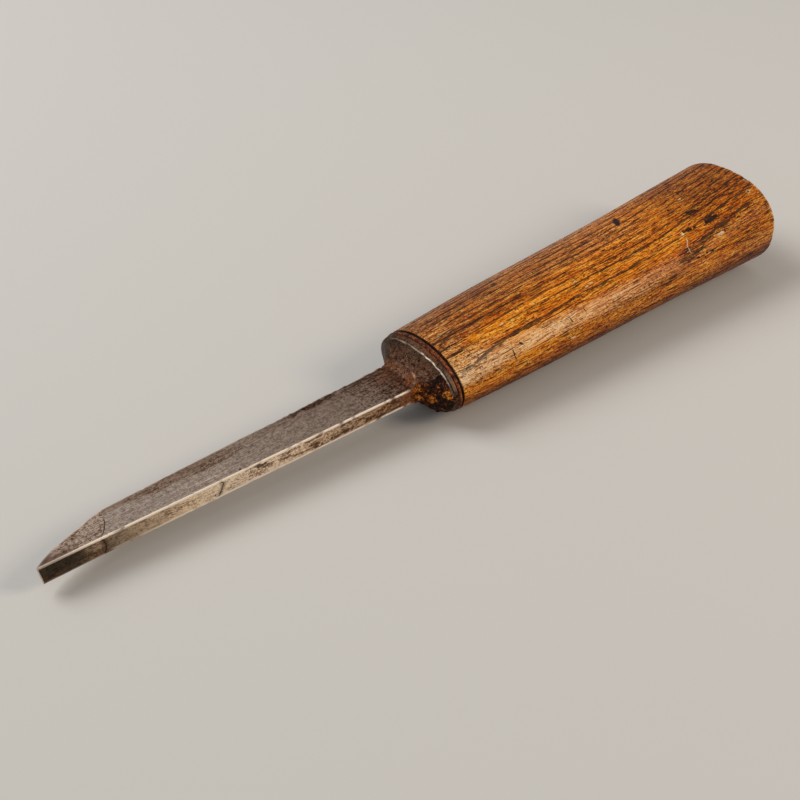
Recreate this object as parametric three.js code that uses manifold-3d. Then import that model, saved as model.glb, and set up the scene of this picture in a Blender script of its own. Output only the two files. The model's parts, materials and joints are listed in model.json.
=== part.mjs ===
// Quarter-inch mortise chisel with an oval bolster, lying on its side as it rests on a bench.
// Millimetres, +Z up, origin below the middle of the tool on the plane it lies on.
// In the tool's own frame the axis runs along X, the cutting edge at -X and the striking end at +X.
// The flat back of the blade faces -Y, its bevel +Y, and one narrow side +Z.
import * as THREE from 'three';
import { mergeVertices } from 'three/addons/utils/BufferGeometryUtils.js';
import Module from 'manifold-3d';

const wasm = await Module();
wasm.setup();

// Blade: a tapering bar, deepest at the bolster. Offsets are measured from the axis.
const BLADE_LENGTH = 132.5;
const EDGE_WIDTH = 6.35;
const BLADE_WIDTH_AT_BOLSTER = 5.7;
const BACK_OFFSET_AT_TIP = 0.5;
const BACK_OFFSET_AT_BOLSTER = 8.1;
const FRONT_OFFSET_AT_TIP = 9.1;
const FRONT_OFFSET_AT_BOLSTER = 8.3;
// How much narrower the blade gets from back to front, as a share of its depth.
const SIDE_RELIEF_SHARE = 0.04;
const EDGE_SKEW = 0.8;
const EDGE_FLAT = 0.2;

// Bevel: a short honed facet, a flatter ground bevel and an eased heel.
const BEVEL_LENGTH = 27;
// Each point is a share of the bevel's length and of its depth.
const BEVEL_OUTLINE_SHARES = [[0.08, 0.19], [0.23, 0.41], [0.79, 0.94], [0.9, 0.99]];

// Steel tip: welded to the iron along a slanting, slightly bulging seam.
const SEAM_FROM_TIP_AT_BACK = 19.4;
const SEAM_FROM_TIP_AT_FRONT = 24.6;
const SEAM_BULGE = 0.9;

// Bolster: flares from the blade to an oval rim whose front edge stands at X = 0.
const FLARE_LENGTH = 6.8;
const RIM_WIDTH = 37.4;
const RIM_HEIGHT = 21.1;
const RIM_THICKNESS = 1.5;
const RIM_BACK_WIDTH = 37.6;
const RIM_BACK_HEIGHT = 22.8;

// Tang: a square spike that tapers inside the handle.
const TANG_LENGTH = 82;
const TANG_ROOT_DEPTH = 9.5;
const TANG_ROOT_WIDTH = 5.6;
const TANG_END_DEPTH = 4;
const TANG_END_WIDTH = 3.4;
const TANG_POINT_LENGTH = 4;
const TANG_POINT_WIDTH = 1.2;

// Leather washer between the bolster and the wood.
const WASHER_THICKNESS = 1.3;
const WASHER_WIDTH = 37.8;
const WASHER_HEIGHT = 23.6;

// Handle: oval, waisted on its flatter faces and flared at the striking end.
const HANDLE_LENGTH = 146.6;
const HANDLE_FRONT_WIDTH = 37.6;
const HANDLE_FRONT_HEIGHT = 24.2;
const HANDLE_BUTT_WIDTH = 45.1;
const HANDLE_BUTT_HEIGHT = 34.2;
const HANDLE_FRONT_EASE = 0.5;
const HANDLE_BUTT_EASE = 1;
// Shares along the handle, and shares of the growth in width and height from front to butt.
const HANDLE_ALONG_SHARES = [0, 0.2, 0.42, 0.62, 0.8, 1];
const HANDLE_WIDTH_SHARES = [0, 0.41, 0.64, 0.81, 0.97, 1];
const HANDLE_HEIGHT_SHARES = [0, 0.16, 0.24, 0.33, 0.59, 1];

// Clearance between neighbours, and how far a cut runs past the material.
const SEAT_GAP = 0.3;
const OVERRUN = 6;

// Roundness of the oval sections: 2 is an ellipse and larger numbers are squarer.
const OVAL = 2;
const BUTT_OVAL = 2.3;
const NECK_OVAL = 9;

// Counts of the steps that the round forms are built with.
const OVAL_SIDES = 48;
const FLARE_STEPS = 7;
const HANDLE_STEPS = 20;
const SEAM_STEPS = 6;

const RIM_BACK = RIM_THICKNESS;
const WASHER_FRONT = RIM_BACK + SEAT_GAP;
const WASHER_BACK = WASHER_FRONT + WASHER_THICKNESS;
const HANDLE_FRONT = WASHER_BACK + SEAT_GAP;
const HANDLE_BUTT = HANDLE_FRONT + HANDLE_LENGTH;
// The two places along the handle, just inside its eased ends, that the tool lies on.
const REST_FRONT = HANDLE_FRONT + HANDLE_FRONT_EASE;
const REST_BUTT = HANDLE_BUTT - HANDLE_BUTT_EASE;

const FORGED_IRON = { color: 0x5d5550, roughness: 0.45, metalness: 0.9 };
const CAST_STEEL = { color: 0x6f6962, roughness: 0.4, metalness: 0.9 };
const LEATHER = { color: 0x5a2f22, roughness: 0.85, metalness: 0 };
const OILED_ASH = { color: 0xb06a24, roughness: 0.5, metalness: 0 };

// A closed body through rings of points set one behind the other along +X.
// Each ring has the same number of points, counted from +Y round towards +Z.
function loft(rings) {
  const count = rings[0].length;
  const positions = rings.flat().flatMap((point) => point.toArray());
  const faces = [];
  for (let ring = 0; ring + 1 < rings.length; ring += 1) {
    for (let side = 0; side < count; side += 1) {
      const here = ring * count + side;
      const next = ring * count + ((side + 1) % count);
      faces.push(here, next, here + count);
      faces.push(next, next + count, here + count);
    }
  }
  const last = (rings.length - 1) * count;
  for (let side = 1; side + 1 < count; side += 1) {
    faces.push(0, side + 1, side);
    faces.push(last, last + side, last + side + 1);
  }
  const geometry = new THREE.BufferGeometry();
  geometry.setAttribute('position', new THREE.Float32BufferAttribute(positions, 3));
  geometry.setIndex(faces);
  return geometry;
}

function solidOf(source) {
  const bare = source.clone();
  bare.deleteAttribute('normal');
  bare.deleteAttribute('uv');
  const geometry = mergeVertices(bare);
  const vertProperties = new Float32Array(geometry.getAttribute('position').array);
  const triVerts = new Uint32Array(geometry.getIndex().array);
  return new wasm.Manifold(new wasm.Mesh({ numProp: 3, vertProperties, triVerts }));
}

function geometryOf(solid) {
  const mesh = solid.getMesh();
  const geometry = new THREE.BufferGeometry();
  geometry.setAttribute('position', new THREE.BufferAttribute(mesh.vertProperties, 3));
  geometry.setIndex(new THREE.BufferAttribute(mesh.triVerts, 1));
  return geometry;
}

// An outline in the XY plane, drawn through the full width of the blade.
function slab(outline) {
  const height = EDGE_WIDTH + 2 * OVERRUN;
  const geometry = new THREE.ExtrudeGeometry(new THREE.Shape(outline), { depth: height, bevelEnabled: false });
  geometry.translate(0, 0, -height / 2);
  return geometry;
}

// An oval ring at x: a superellipse, so that one formula gives ellipses and rounded rectangles.
function ovalRing(x, width, height, roundness, centreY = 0) {
  const power = 2 / roundness;
  const points = [];
  for (let side = 0; side < OVAL_SIDES; side += 1) {
    const angle = (2 * Math.PI * side) / OVAL_SIDES;
    const across = Math.sign(Math.cos(angle)) * Math.abs(Math.cos(angle)) ** power;
    const up = Math.sign(Math.sin(angle)) * Math.abs(Math.sin(angle)) ** power;
    points.push(new THREE.Vector3(x, centreY + (across * width) / 2, (up * height) / 2));
  }
  return points;
}

function rectangleRing(x, depth, width) {
  return [
    new THREE.Vector3(x, depth / 2, -width / 2),
    new THREE.Vector3(x, depth / 2, width / 2),
    new THREE.Vector3(x, -depth / 2, width / 2),
    new THREE.Vector3(x, -depth / 2, -width / 2),
  ];
}

// Y of the blade's back and front at x, and its width at x and y: the four long faces are planes.
function backAt(x) {
  return THREE.MathUtils.mapLinear(x, -BLADE_LENGTH, 0, -BACK_OFFSET_AT_TIP, -BACK_OFFSET_AT_BOLSTER);
}

function frontAt(x) {
  return THREE.MathUtils.mapLinear(x, -BLADE_LENGTH, 0, FRONT_OFFSET_AT_TIP, FRONT_OFFSET_AT_BOLSTER);
}

function bladeWidthAt(x, y) {
  const atBack = THREE.MathUtils.mapLinear(x, -BLADE_LENGTH, 0, EDGE_WIDTH, BLADE_WIDTH_AT_BOLSTER);
  return atBack - SIDE_RELIEF_SHARE * (y - backAt(x));
}

function bladeRing(upperX, lowerX) {
  const corner = (x, y, side) => new THREE.Vector3(x, y, (side * bladeWidthAt(x, y)) / 2);
  return [
    corner(lowerX, frontAt(lowerX), -1),
    corner(upperX, frontAt(upperX), 1),
    corner(upperX, backAt(upperX), 1),
    corner(lowerX, backAt(lowerX), -1),
  ];
}

// The metal ground away above the bevel.
function bevelWaste() {
  const tip = -BLADE_LENGTH;
  const heel = tip + BEVEL_LENGTH;
  const low = backAt(tip) + EDGE_FLAT;
  const depth = frontAt(heel) - low;
  const ground = BEVEL_OUTLINE_SHARES.map(([along, up]) => {
    return new THREE.Vector2(tip + along * BEVEL_LENGTH, low + up * depth);
  });
  return slab([
    new THREE.Vector2(tip - OVERRUN, low),
    new THREE.Vector2(tip, low),
    ...ground,
    new THREE.Vector2(heel, frontAt(heel)),
    new THREE.Vector2(heel, frontAt(heel) + OVERRUN),
    new THREE.Vector2(tip - OVERRUN, frontAt(heel) + OVERRUN),
  ]);
}

// Everything on the tip's side of the weld seam, which is moved along the blade by shift.
function tipSide(shift) {
  const back = new THREE.Vector2(SEAM_FROM_TIP_AT_BACK + shift - BLADE_LENGTH, backAt(-BLADE_LENGTH) - OVERRUN);
  const front = new THREE.Vector2(SEAM_FROM_TIP_AT_FRONT + shift - BLADE_LENGTH, frontAt(-BLADE_LENGTH) + OVERRUN);
  const middle = back.clone().lerp(front, 0.5);
  middle.x += 2 * SEAM_BULGE;
  const seam = new THREE.QuadraticBezierCurve(back, middle, front).getPoints(SEAM_STEPS);
  const beyond = -BLADE_LENGTH - OVERRUN;
  return slab([new THREE.Vector2(beyond, back.y), ...seam, new THREE.Vector2(beyond, front.y)]);
}

// Rings from the neck, where the section is nearly the blade's own, to the oval back of the rim.
function bolsterRings() {
  const rings = [];
  const neckDepth = FRONT_OFFSET_AT_BOLSTER + BACK_OFFSET_AT_BOLSTER;
  const neckCentre = (FRONT_OFFSET_AT_BOLSTER - BACK_OFFSET_AT_BOLSTER) / 2;
  for (let step = 0; step <= FLARE_STEPS; step += 1) {
    const share = step / FLARE_STEPS;
    const swell = share ** 1.35;
    const width = THREE.MathUtils.lerp(neckDepth, RIM_WIDTH, swell);
    const height = THREE.MathUtils.lerp(BLADE_WIDTH_AT_BOLSTER, RIM_HEIGHT, swell);
    const roundness = OVAL + (NECK_OVAL - OVAL) * (1 - share) ** 2;
    rings.push(ovalRing(FLARE_LENGTH * (share - 1), width, height, roundness, neckCentre * (1 - share)));
  }
  rings.push(ovalRing(RIM_BACK, RIM_BACK_WIDTH, RIM_BACK_HEIGHT, OVAL));
  return rings;
}

// Rings of the tang, or of the hole for it when clearance is given, from startX.
function tangRings(startX, clearance = 0) {
  const shoulder = RIM_BACK + TANG_LENGTH - TANG_POINT_LENGTH;
  const rootDepth = TANG_ROOT_DEPTH + 2 * clearance;
  const rootWidth = TANG_ROOT_WIDTH + 2 * clearance;
  const pointWidth = TANG_POINT_WIDTH + 2 * clearance;
  return [
    rectangleRing(startX, rootDepth, rootWidth),
    rectangleRing(shoulder, TANG_END_DEPTH + 2 * clearance, TANG_END_WIDTH + 2 * clearance),
    rectangleRing(shoulder + TANG_POINT_LENGTH + clearance, pointWidth, pointWidth),
  ];
}

// The whole forging: blade, bolster and tang in one piece.
function forging() {
  const blank = solidOf(loft([bladeRing(-BLADE_LENGTH, EDGE_SKEW - BLADE_LENGTH), bladeRing(0, 0)]));
  const blade = blank.subtract(solidOf(bevelWaste()));
  return blade.add(solidOf(loft(bolsterRings()))).add(solidOf(loft(tangRings(0))));
}

function steelTip() {
  return geometryOf(forging().intersect(solidOf(tipSide(0))));
}

function ironBlade() {
  return geometryOf(forging().subtract(solidOf(tipSide(SEAT_GAP))));
}

function leatherWasher() {
  const disc = solidOf(loft([WASHER_FRONT, WASHER_BACK].map((x) => ovalRing(x, WASHER_WIDTH, WASHER_HEIGHT, OVAL))));
  return geometryOf(disc.subtract(solidOf(loft(tangRings(0, SEAT_GAP)))));
}

// A smooth run of sizes through the shares of the growth from front to butt.
function handleSizes(front, butt, growthShares) {
  const sizes = growthShares.map((share) => THREE.MathUtils.lerp(front, butt, share));
  return new THREE.CubicInterpolant(HANDLE_ALONG_SHARES, sizes, 1);
}

// The handle's section at x, drawn in on all sides by ease.
function handleRing(x, ease = 0) {
  const share = (x - HANDLE_FRONT) / HANDLE_LENGTH;
  const width = handleSizes(HANDLE_FRONT_WIDTH, HANDLE_BUTT_WIDTH, HANDLE_WIDTH_SHARES).evaluate(share)[0];
  const height = handleSizes(HANDLE_FRONT_HEIGHT, HANDLE_BUTT_HEIGHT, HANDLE_HEIGHT_SHARES).evaluate(share)[0];
  return ovalRing(x, width - 2 * ease, height - 2 * ease, THREE.MathUtils.lerp(OVAL, BUTT_OVAL, share));
}

function woodenHandle() {
  const rings = [handleRing(HANDLE_FRONT, HANDLE_FRONT_EASE)];
  for (let step = 0; step <= HANDLE_STEPS; step += 1) {
    rings.push(handleRing(THREE.MathUtils.lerp(REST_FRONT, REST_BUTT, step / HANDLE_STEPS)));
  }
  rings.push(handleRing(HANDLE_BUTT, HANDLE_BUTT_EASE));
  return geometryOf(solidOf(loft(rings)).subtract(solidOf(loft(tangRings(0, SEAT_GAP)))));
}

function part(name, geometry, finish) {
  const mesh = new THREE.Mesh(geometry, new THREE.MeshStandardMaterial({ ...finish, flatShading: true }));
  mesh.name = name;
  return mesh;
}

// How far a rolled section reaches below the axis.
function reachBelow(ring, angle) {
  return Math.max(...ring.map((point) => -(point.y * Math.sin(angle) + point.z * Math.cos(angle))));
}

// The blade is deeper on its bevel side, so the tool rolls that way until the first facet beside
// the lowest corner of the handle's front end lies flat.
const roll = -Math.atan((HANDLE_FRONT_HEIGHT / HANDLE_FRONT_WIDTH) * Math.tan(Math.PI / OVAL_SIDES));
const tool = new THREE.Group();
tool.rotation.x = roll;
tool.add(
  part('iron_blade', ironBlade(), FORGED_IRON),
  part('steel_tip', steelTip(), CAST_STEEL),
  part('leather_washer', leatherWasher(), LEATHER),
  part('handle', woodenHandle(), OILED_ASH),
);

// The butt is the taller end, so the axis climbs towards it.
const climb = reachBelow(handleRing(REST_BUTT), roll) - reachBelow(handleRing(REST_FRONT), roll);
const chisel = new THREE.Group();
chisel.rotation.y = -Math.asin(climb / (REST_BUTT - REST_FRONT));
chisel.add(tool);

const box = new THREE.Box3().setFromObject(chisel, true);
chisel.position.set(-(box.min.x + box.max.x) / 2, -(box.min.y + box.max.y) / 2, -box.min.z);
chisel.updateMatrixWorld(true);

export default chisel;
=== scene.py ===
"""Old quarter-inch mortise chisel with an oval bolster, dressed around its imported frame.

Sizes inside the classes are millimetres in the tool's own frame: its axis is X, the bolster's front rim
stands at zero, the cutting edge at -X and the striking end at +X. The flat back of the blade faces -Y, its
bevel +Y, and the narrow side that lies uppermost faces +Z. ToolFrame carries each finished mesh into the
part's frame.
"""

import json
import logging
import math
from dataclasses import dataclass, field
from enum import Enum
from functools import partial
from typing import Any, Sequence

import bmesh
import bpy
import numpy as np
from bpy.types import Material, NodeSocket, NodeTree, Object
from mathutils import Matrix, Vector, noise


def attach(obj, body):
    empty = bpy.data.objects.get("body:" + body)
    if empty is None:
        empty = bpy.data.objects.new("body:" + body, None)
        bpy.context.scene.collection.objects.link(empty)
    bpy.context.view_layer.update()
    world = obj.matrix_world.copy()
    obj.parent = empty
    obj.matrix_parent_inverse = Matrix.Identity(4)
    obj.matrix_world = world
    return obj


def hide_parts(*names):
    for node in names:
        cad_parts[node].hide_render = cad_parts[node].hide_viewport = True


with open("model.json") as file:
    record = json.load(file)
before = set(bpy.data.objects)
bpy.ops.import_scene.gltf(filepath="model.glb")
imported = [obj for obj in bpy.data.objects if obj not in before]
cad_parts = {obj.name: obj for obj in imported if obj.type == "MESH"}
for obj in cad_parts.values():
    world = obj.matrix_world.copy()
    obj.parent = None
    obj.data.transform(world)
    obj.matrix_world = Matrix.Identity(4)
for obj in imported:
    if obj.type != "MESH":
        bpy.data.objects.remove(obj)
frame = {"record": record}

MM = 0.001
LOG = logging.getLogger("chisel")

# The Mix node in its colour mode. Its sockets go by number, because its other modes have the same names.
MIX_FACTOR, MIX_A, MIX_B = 0, 6, 7
COLOURS: dict[str, Any] = {"out": 2, "data_type": "RGBA"}
TINTED: dict[str, Any] = {**COLOURS, "blend_type": "MULTIPLY"}

# The setting that makes a Map Range node rise smoothly.
SMOOTH: dict[str, Any] = {"interpolation_type": "SMOOTHSTEP"}

# Distances are painted up to so many millimetres, and a kind of wear that a piece lacks is that far off.
FAR_MM = 3.0

# Levels of the subdivision surface that smooths every piece.
LEVELS = 2

Points = np.ndarray
Values = np.ndarray
Stops = tuple[tuple[float, str], ...]


def linear(colour: str) -> tuple[float, float, float, float]:
    """Turn an sRGB hex colour into linear light.

    Args:
        colour: Six hex digits after a hash.

    Returns:
        Red, green, blue and an alpha of one.
    """
    parts = [int(colour[start:start + 2], 16) / 255 for start in (1, 3, 5)]
    light = [part / 12.92 if part <= 0.04045 else ((part + 0.055) / 1.055) ** 2.4 for part in parts]
    return (light[0], light[1], light[2], 1.0)


def add_node(tree: NodeTree, kind: str, inputs: dict[str | int, Any] | tuple[Any, ...] = (),
             out: int | str = 0, stops: Sequence[tuple[float, str]] = (), **settings: Any) -> Any:
    """Add a node with its settings and links.

    Args:
        tree: The node tree that takes it.
        kind: Its type, without the leading ShaderNode.
        inputs: What each input gets, a socket to link or a plain value, by name or in order.
        out: The output to return.
        stops: Place and hex colour of each stop of a colour ramp, in rising order.
        settings: Properties of the node.

    Returns:
        The chosen output socket, or the node where it has none.
    """
    node = tree.nodes.new("ShaderNode" + kind)
    for name, value in settings.items():
        setattr(node, name, value)
    for name, value in inputs.items() if isinstance(inputs, dict) else enumerate(inputs):
        if isinstance(value, NodeSocket):
            tree.links.new(value, node.inputs[name])
        else:
            node.inputs[name].default_value = value
    if stops:
        ramp = node.color_ramp.elements
        ramp[0].position, ramp[1].position = stops[0][0], stops[-1][0]
        for place, _ in stops[1:-1]:
            ramp.new(place)
        for stop, (_, colour) in zip(ramp, stops):
            stop.color = linear(colour)
    return node.outputs[out] if node.outputs else node


def blank_material(name: str) -> tuple[Material, NodeTree]:
    """Make a material without nodes.

    Args:
        name: Its name.

    Returns:
        The material and the tree that takes its nodes.
    """
    material = bpy.data.materials.new(name)
    material.use_nodes = True
    material.node_tree.nodes.clear()
    return material, material.node_tree


def ease(value: Values, low: float, high: float) -> Values:
    """Rise smoothly from 0 to 1 as the value goes from low to high, or fall where high is the smaller."""
    share = np.clip((value - low) / (high - low), 0.0, 1.0)
    return share * share * (3.0 - 2.0 * share)


def roughly(points: Points, size: float | Sequence[float], seed: float = 0.0) -> Values:
    """Smooth random values over space.

    Args:
        points: Places in millimetres.
        size: The length over which the values change, for all axes or for each.
        seed: Moves the pattern to another place.

    Returns:
        One value between about -1 and 1 for each point.
    """
    scaled = points / np.broadcast_to(np.asarray(size, dtype=float), (3,)) + seed
    return np.array([noise.noise(place) for place in scaled.tolist()])


def layered(points: Points, size: float | Sequence[float], layers: int, seed: float = 0.0) -> Values:
    """Sum of finer and finer random layers, each half as large and half as strong as the last.

    Args:
        points: Places in millimetres.
        size: The length over which the first layer changes, for all axes or for each.
        layers: How many there are.
        seed: Moves the pattern to another place.

    Returns:
        One value for each point.
    """
    sizes = np.broadcast_to(np.asarray(size, dtype=float), (3,))
    steps = [(2 ** layer, seed + 7.3 * layer) for layer in range(layers)]
    return sum(roughly(points, sizes / finer, place) / finer for finer, place in steps)


def through(at: Values | float, shares: Sequence[float], values: Sequence[float]) -> Values:
    """Read a smooth curve through given points, whose slope at each is the mean of its neighbours' slopes.

    Args:
        at: Where to read it.
        shares: Places of the points, rising.
        values: Heights of the points.

    Returns:
        The curve's heights.
    """
    places = np.asarray(shares, dtype=float)
    heights = np.asarray(values, dtype=float)
    slopes = np.diff(heights) / np.diff(places)
    bends = np.concatenate([slopes[:1], (slopes[1:] + slopes[:-1]) / 2, slopes[-1:]])
    here = np.clip(np.asarray(at, dtype=float), places[0], places[-1])
    span = np.clip(np.searchsorted(places, here, side="right") - 1, 0, len(places) - 2)
    width = places[span + 1] - places[span]
    t = (here - places[span]) / width
    start = (2 * t**3 - 3 * t**2 + 1) * heights[span] + (t**3 - 2 * t**2 + t) * width * bends[span]
    return start + (3 * t**2 - 2 * t**3) * heights[span + 1] + (t**3 - t**2) * width * bends[span + 1]


@dataclass(frozen=True)
class ToolFrame:
    """Where the tool's own frame stands in the part's frame.

    Attributes:
        matrix: From the tool's millimetres to the part's metres.
    """

    matrix: Matrix

    @classmethod
    def from_record(cls, record: dict[str, Any], butt: float) -> "ToolFrame":
        """Read the frame off the flat striking end and the flat back of the blade.

        Args:
            record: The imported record.
            butt: X of the striking end in the tool's frame.

        Returns:
            The tool's frame.
        """
        mounts = {mount["name"]: mount for mount in record["mounts"]}
        along = Vector(mounts["butt_face"]["axis"]).normalized()
        up = along.cross(-Vector(mounts["blade_back"]["axis"])).normalized()
        origin = Vector(mounts["butt_face"]["pos_m"]) - along * butt * MM
        turn = Matrix((along, up.cross(along), up)).transposed().to_4x4()
        return cls(Matrix.Translation(origin) @ turn @ Matrix.Scale(MM, 4))

    def coordinates(self, tree: NodeTree) -> NodeSocket:
        """Add the nodes that give a material its place on the tool, in millimetres.

        Args:
            tree: The material's nodes.

        Returns:
            The place's socket.
        """
        place, turn, scale = self.matrix.inverted().decompose()
        source = add_node(tree, "TexCoord", out="Object")
        return add_node(tree, "Mapping", (source, place, turn.to_euler(), scale), vector_type="POINT")


class Loft:
    """A closed body grown from a filled ring, which is extruded from section to section."""

    def __init__(self, name: str, ring: Points) -> None:
        """Add the filled ring.

        Args:
            name: The piece's name.
            ring: The first section, as points in order round it.
        """
        bpy.ops.object.select_all(action="DESELECT")
        bpy.ops.mesh.primitive_circle_add(vertices=len(ring), radius=1.0, fill_type="NGON")
        self.obj = bpy.context.active_object
        self.obj.name = name
        self.obj.data.name = name
        bpy.ops.object.mode_set(mode="EDIT")
        bpy.ops.mesh.select_all(action="SELECT")
        shape = bmesh.from_edit_mesh(self.obj.data)
        slots = shape.verts.layers.int.new("slot")
        shape.verts.ensure_lookup_table()
        for index, vert in enumerate(shape.verts):
            vert[slots] = index
        self._set_out(ring)

    def _set_out(self, ring: Points) -> None:
        """Move the selected ring's points to their places on a section.

        Args:
            ring: The section, as points in order round it.
        """
        shape = bmesh.from_edit_mesh(self.obj.data)
        slots = shape.verts.layers.int["slot"]
        for vert in shape.verts:
            if vert.select:
                vert.co = ring[vert[slots]]
        bmesh.update_edit_mesh(self.obj.data)

    def extrude_to(self, rings: Sequence[Points]) -> "Loft":
        """Extrude the end ring through further sections.

        Args:
            rings: The sections in order.

        Returns:
            The same loft.
        """
        for ring in rings:
            bpy.ops.mesh.extrude_region()
            self._set_out(ring)
        return self

    def finish(self) -> Object:
        """Turn the faces outward, smooth the body and return its object.

        Returns:
            The object, still in the tool's millimetres.
        """
        bpy.ops.mesh.select_all(action="SELECT")
        bpy.ops.mesh.normals_make_consistent(inside=False)
        bpy.ops.object.mode_set(mode="OBJECT")
        self.obj.data.attributes.remove(self.obj.data.attributes["slot"])
        return subdivide(self.obj)


def select_only(obj: Object) -> None:
    """Make an object the only one selected, and the active one.

    Args:
        obj: The object.
    """
    bpy.ops.object.select_all(action="DESELECT")
    obj.select_set(True)
    bpy.context.view_layer.objects.active = obj


def subdivide(obj: Object) -> Object:
    """Apply a subdivision surface to an object.

    Args:
        obj: The object.

    Returns:
        The same object.
    """
    select_only(obj)
    modifier = obj.modifiers.new("surface", "SUBSURF")
    modifier.levels = modifier.render_levels = LEVELS
    bpy.ops.object.modifier_apply(modifier=modifier.name)
    return obj


def read_mesh(obj: Object) -> tuple[Points, Points]:
    """Read an object's mesh.

    Args:
        obj: The object.

    Returns:
        The points' places and the ways that the surface faces there.
    """
    count = len(obj.data.vertices)
    places, normals = np.empty(count * 3), np.empty(count * 3)
    obj.data.vertices.foreach_get("co", places)
    obj.data.vertices.foreach_get("normal", normals)
    return places.reshape(-1, 3), normals.reshape(-1, 3)


def write_points(obj: Object, points: Points) -> None:
    """Move an object's points."""
    obj.data.vertices.foreach_set("co", np.ascontiguousarray(points, dtype=float).ravel())
    obj.data.update()


def paint(obj: Object, name: str, values: Values) -> None:
    """Store one value for each point under a name that the materials read."""
    layer = obj.data.attributes.new(name, "FLOAT", "POINT")
    layer.data.foreach_set("value", np.ascontiguousarray(values, dtype=np.float32))


def blots(points: Points, places: Sequence[tuple[float, float]], size: float) -> Values:
    """Soft round patches on a face.

    Args:
        points: Places in millimetres.
        places: X and Y of the patches' middles.
        size: Their reach.

    Returns:
        1 in the middle of a patch, falling to 0.
    """
    ragged = points[:, :2] + 0.6 * np.stack([roughly(points, 1.5, 4.0), roughly(points, 1.5, 8.0)], axis=1)
    gaps = [np.hypot((ragged[:, 0] - place[0]) / size, (ragged[:, 1] - place[1]) / (0.6 * size))
            for place in places]
    return ease(np.min(gaps, axis=0), 1.0, 0.3)


def superellipse(points: Points, roundness: float) -> Points:
    """Push points of the unit square out or in, along their own directions, onto a superellipse.

    Args:
        points: Pairs between -1 and 1.
        roundness: 2 gives a circle, and larger numbers go back towards the square.

    Returns:
        The pairs on the unit superellipse.
    """
    reach = (np.abs(points) ** roundness).sum(axis=1) ** (1.0 / roundness)
    return points / reach[:, None]


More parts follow.
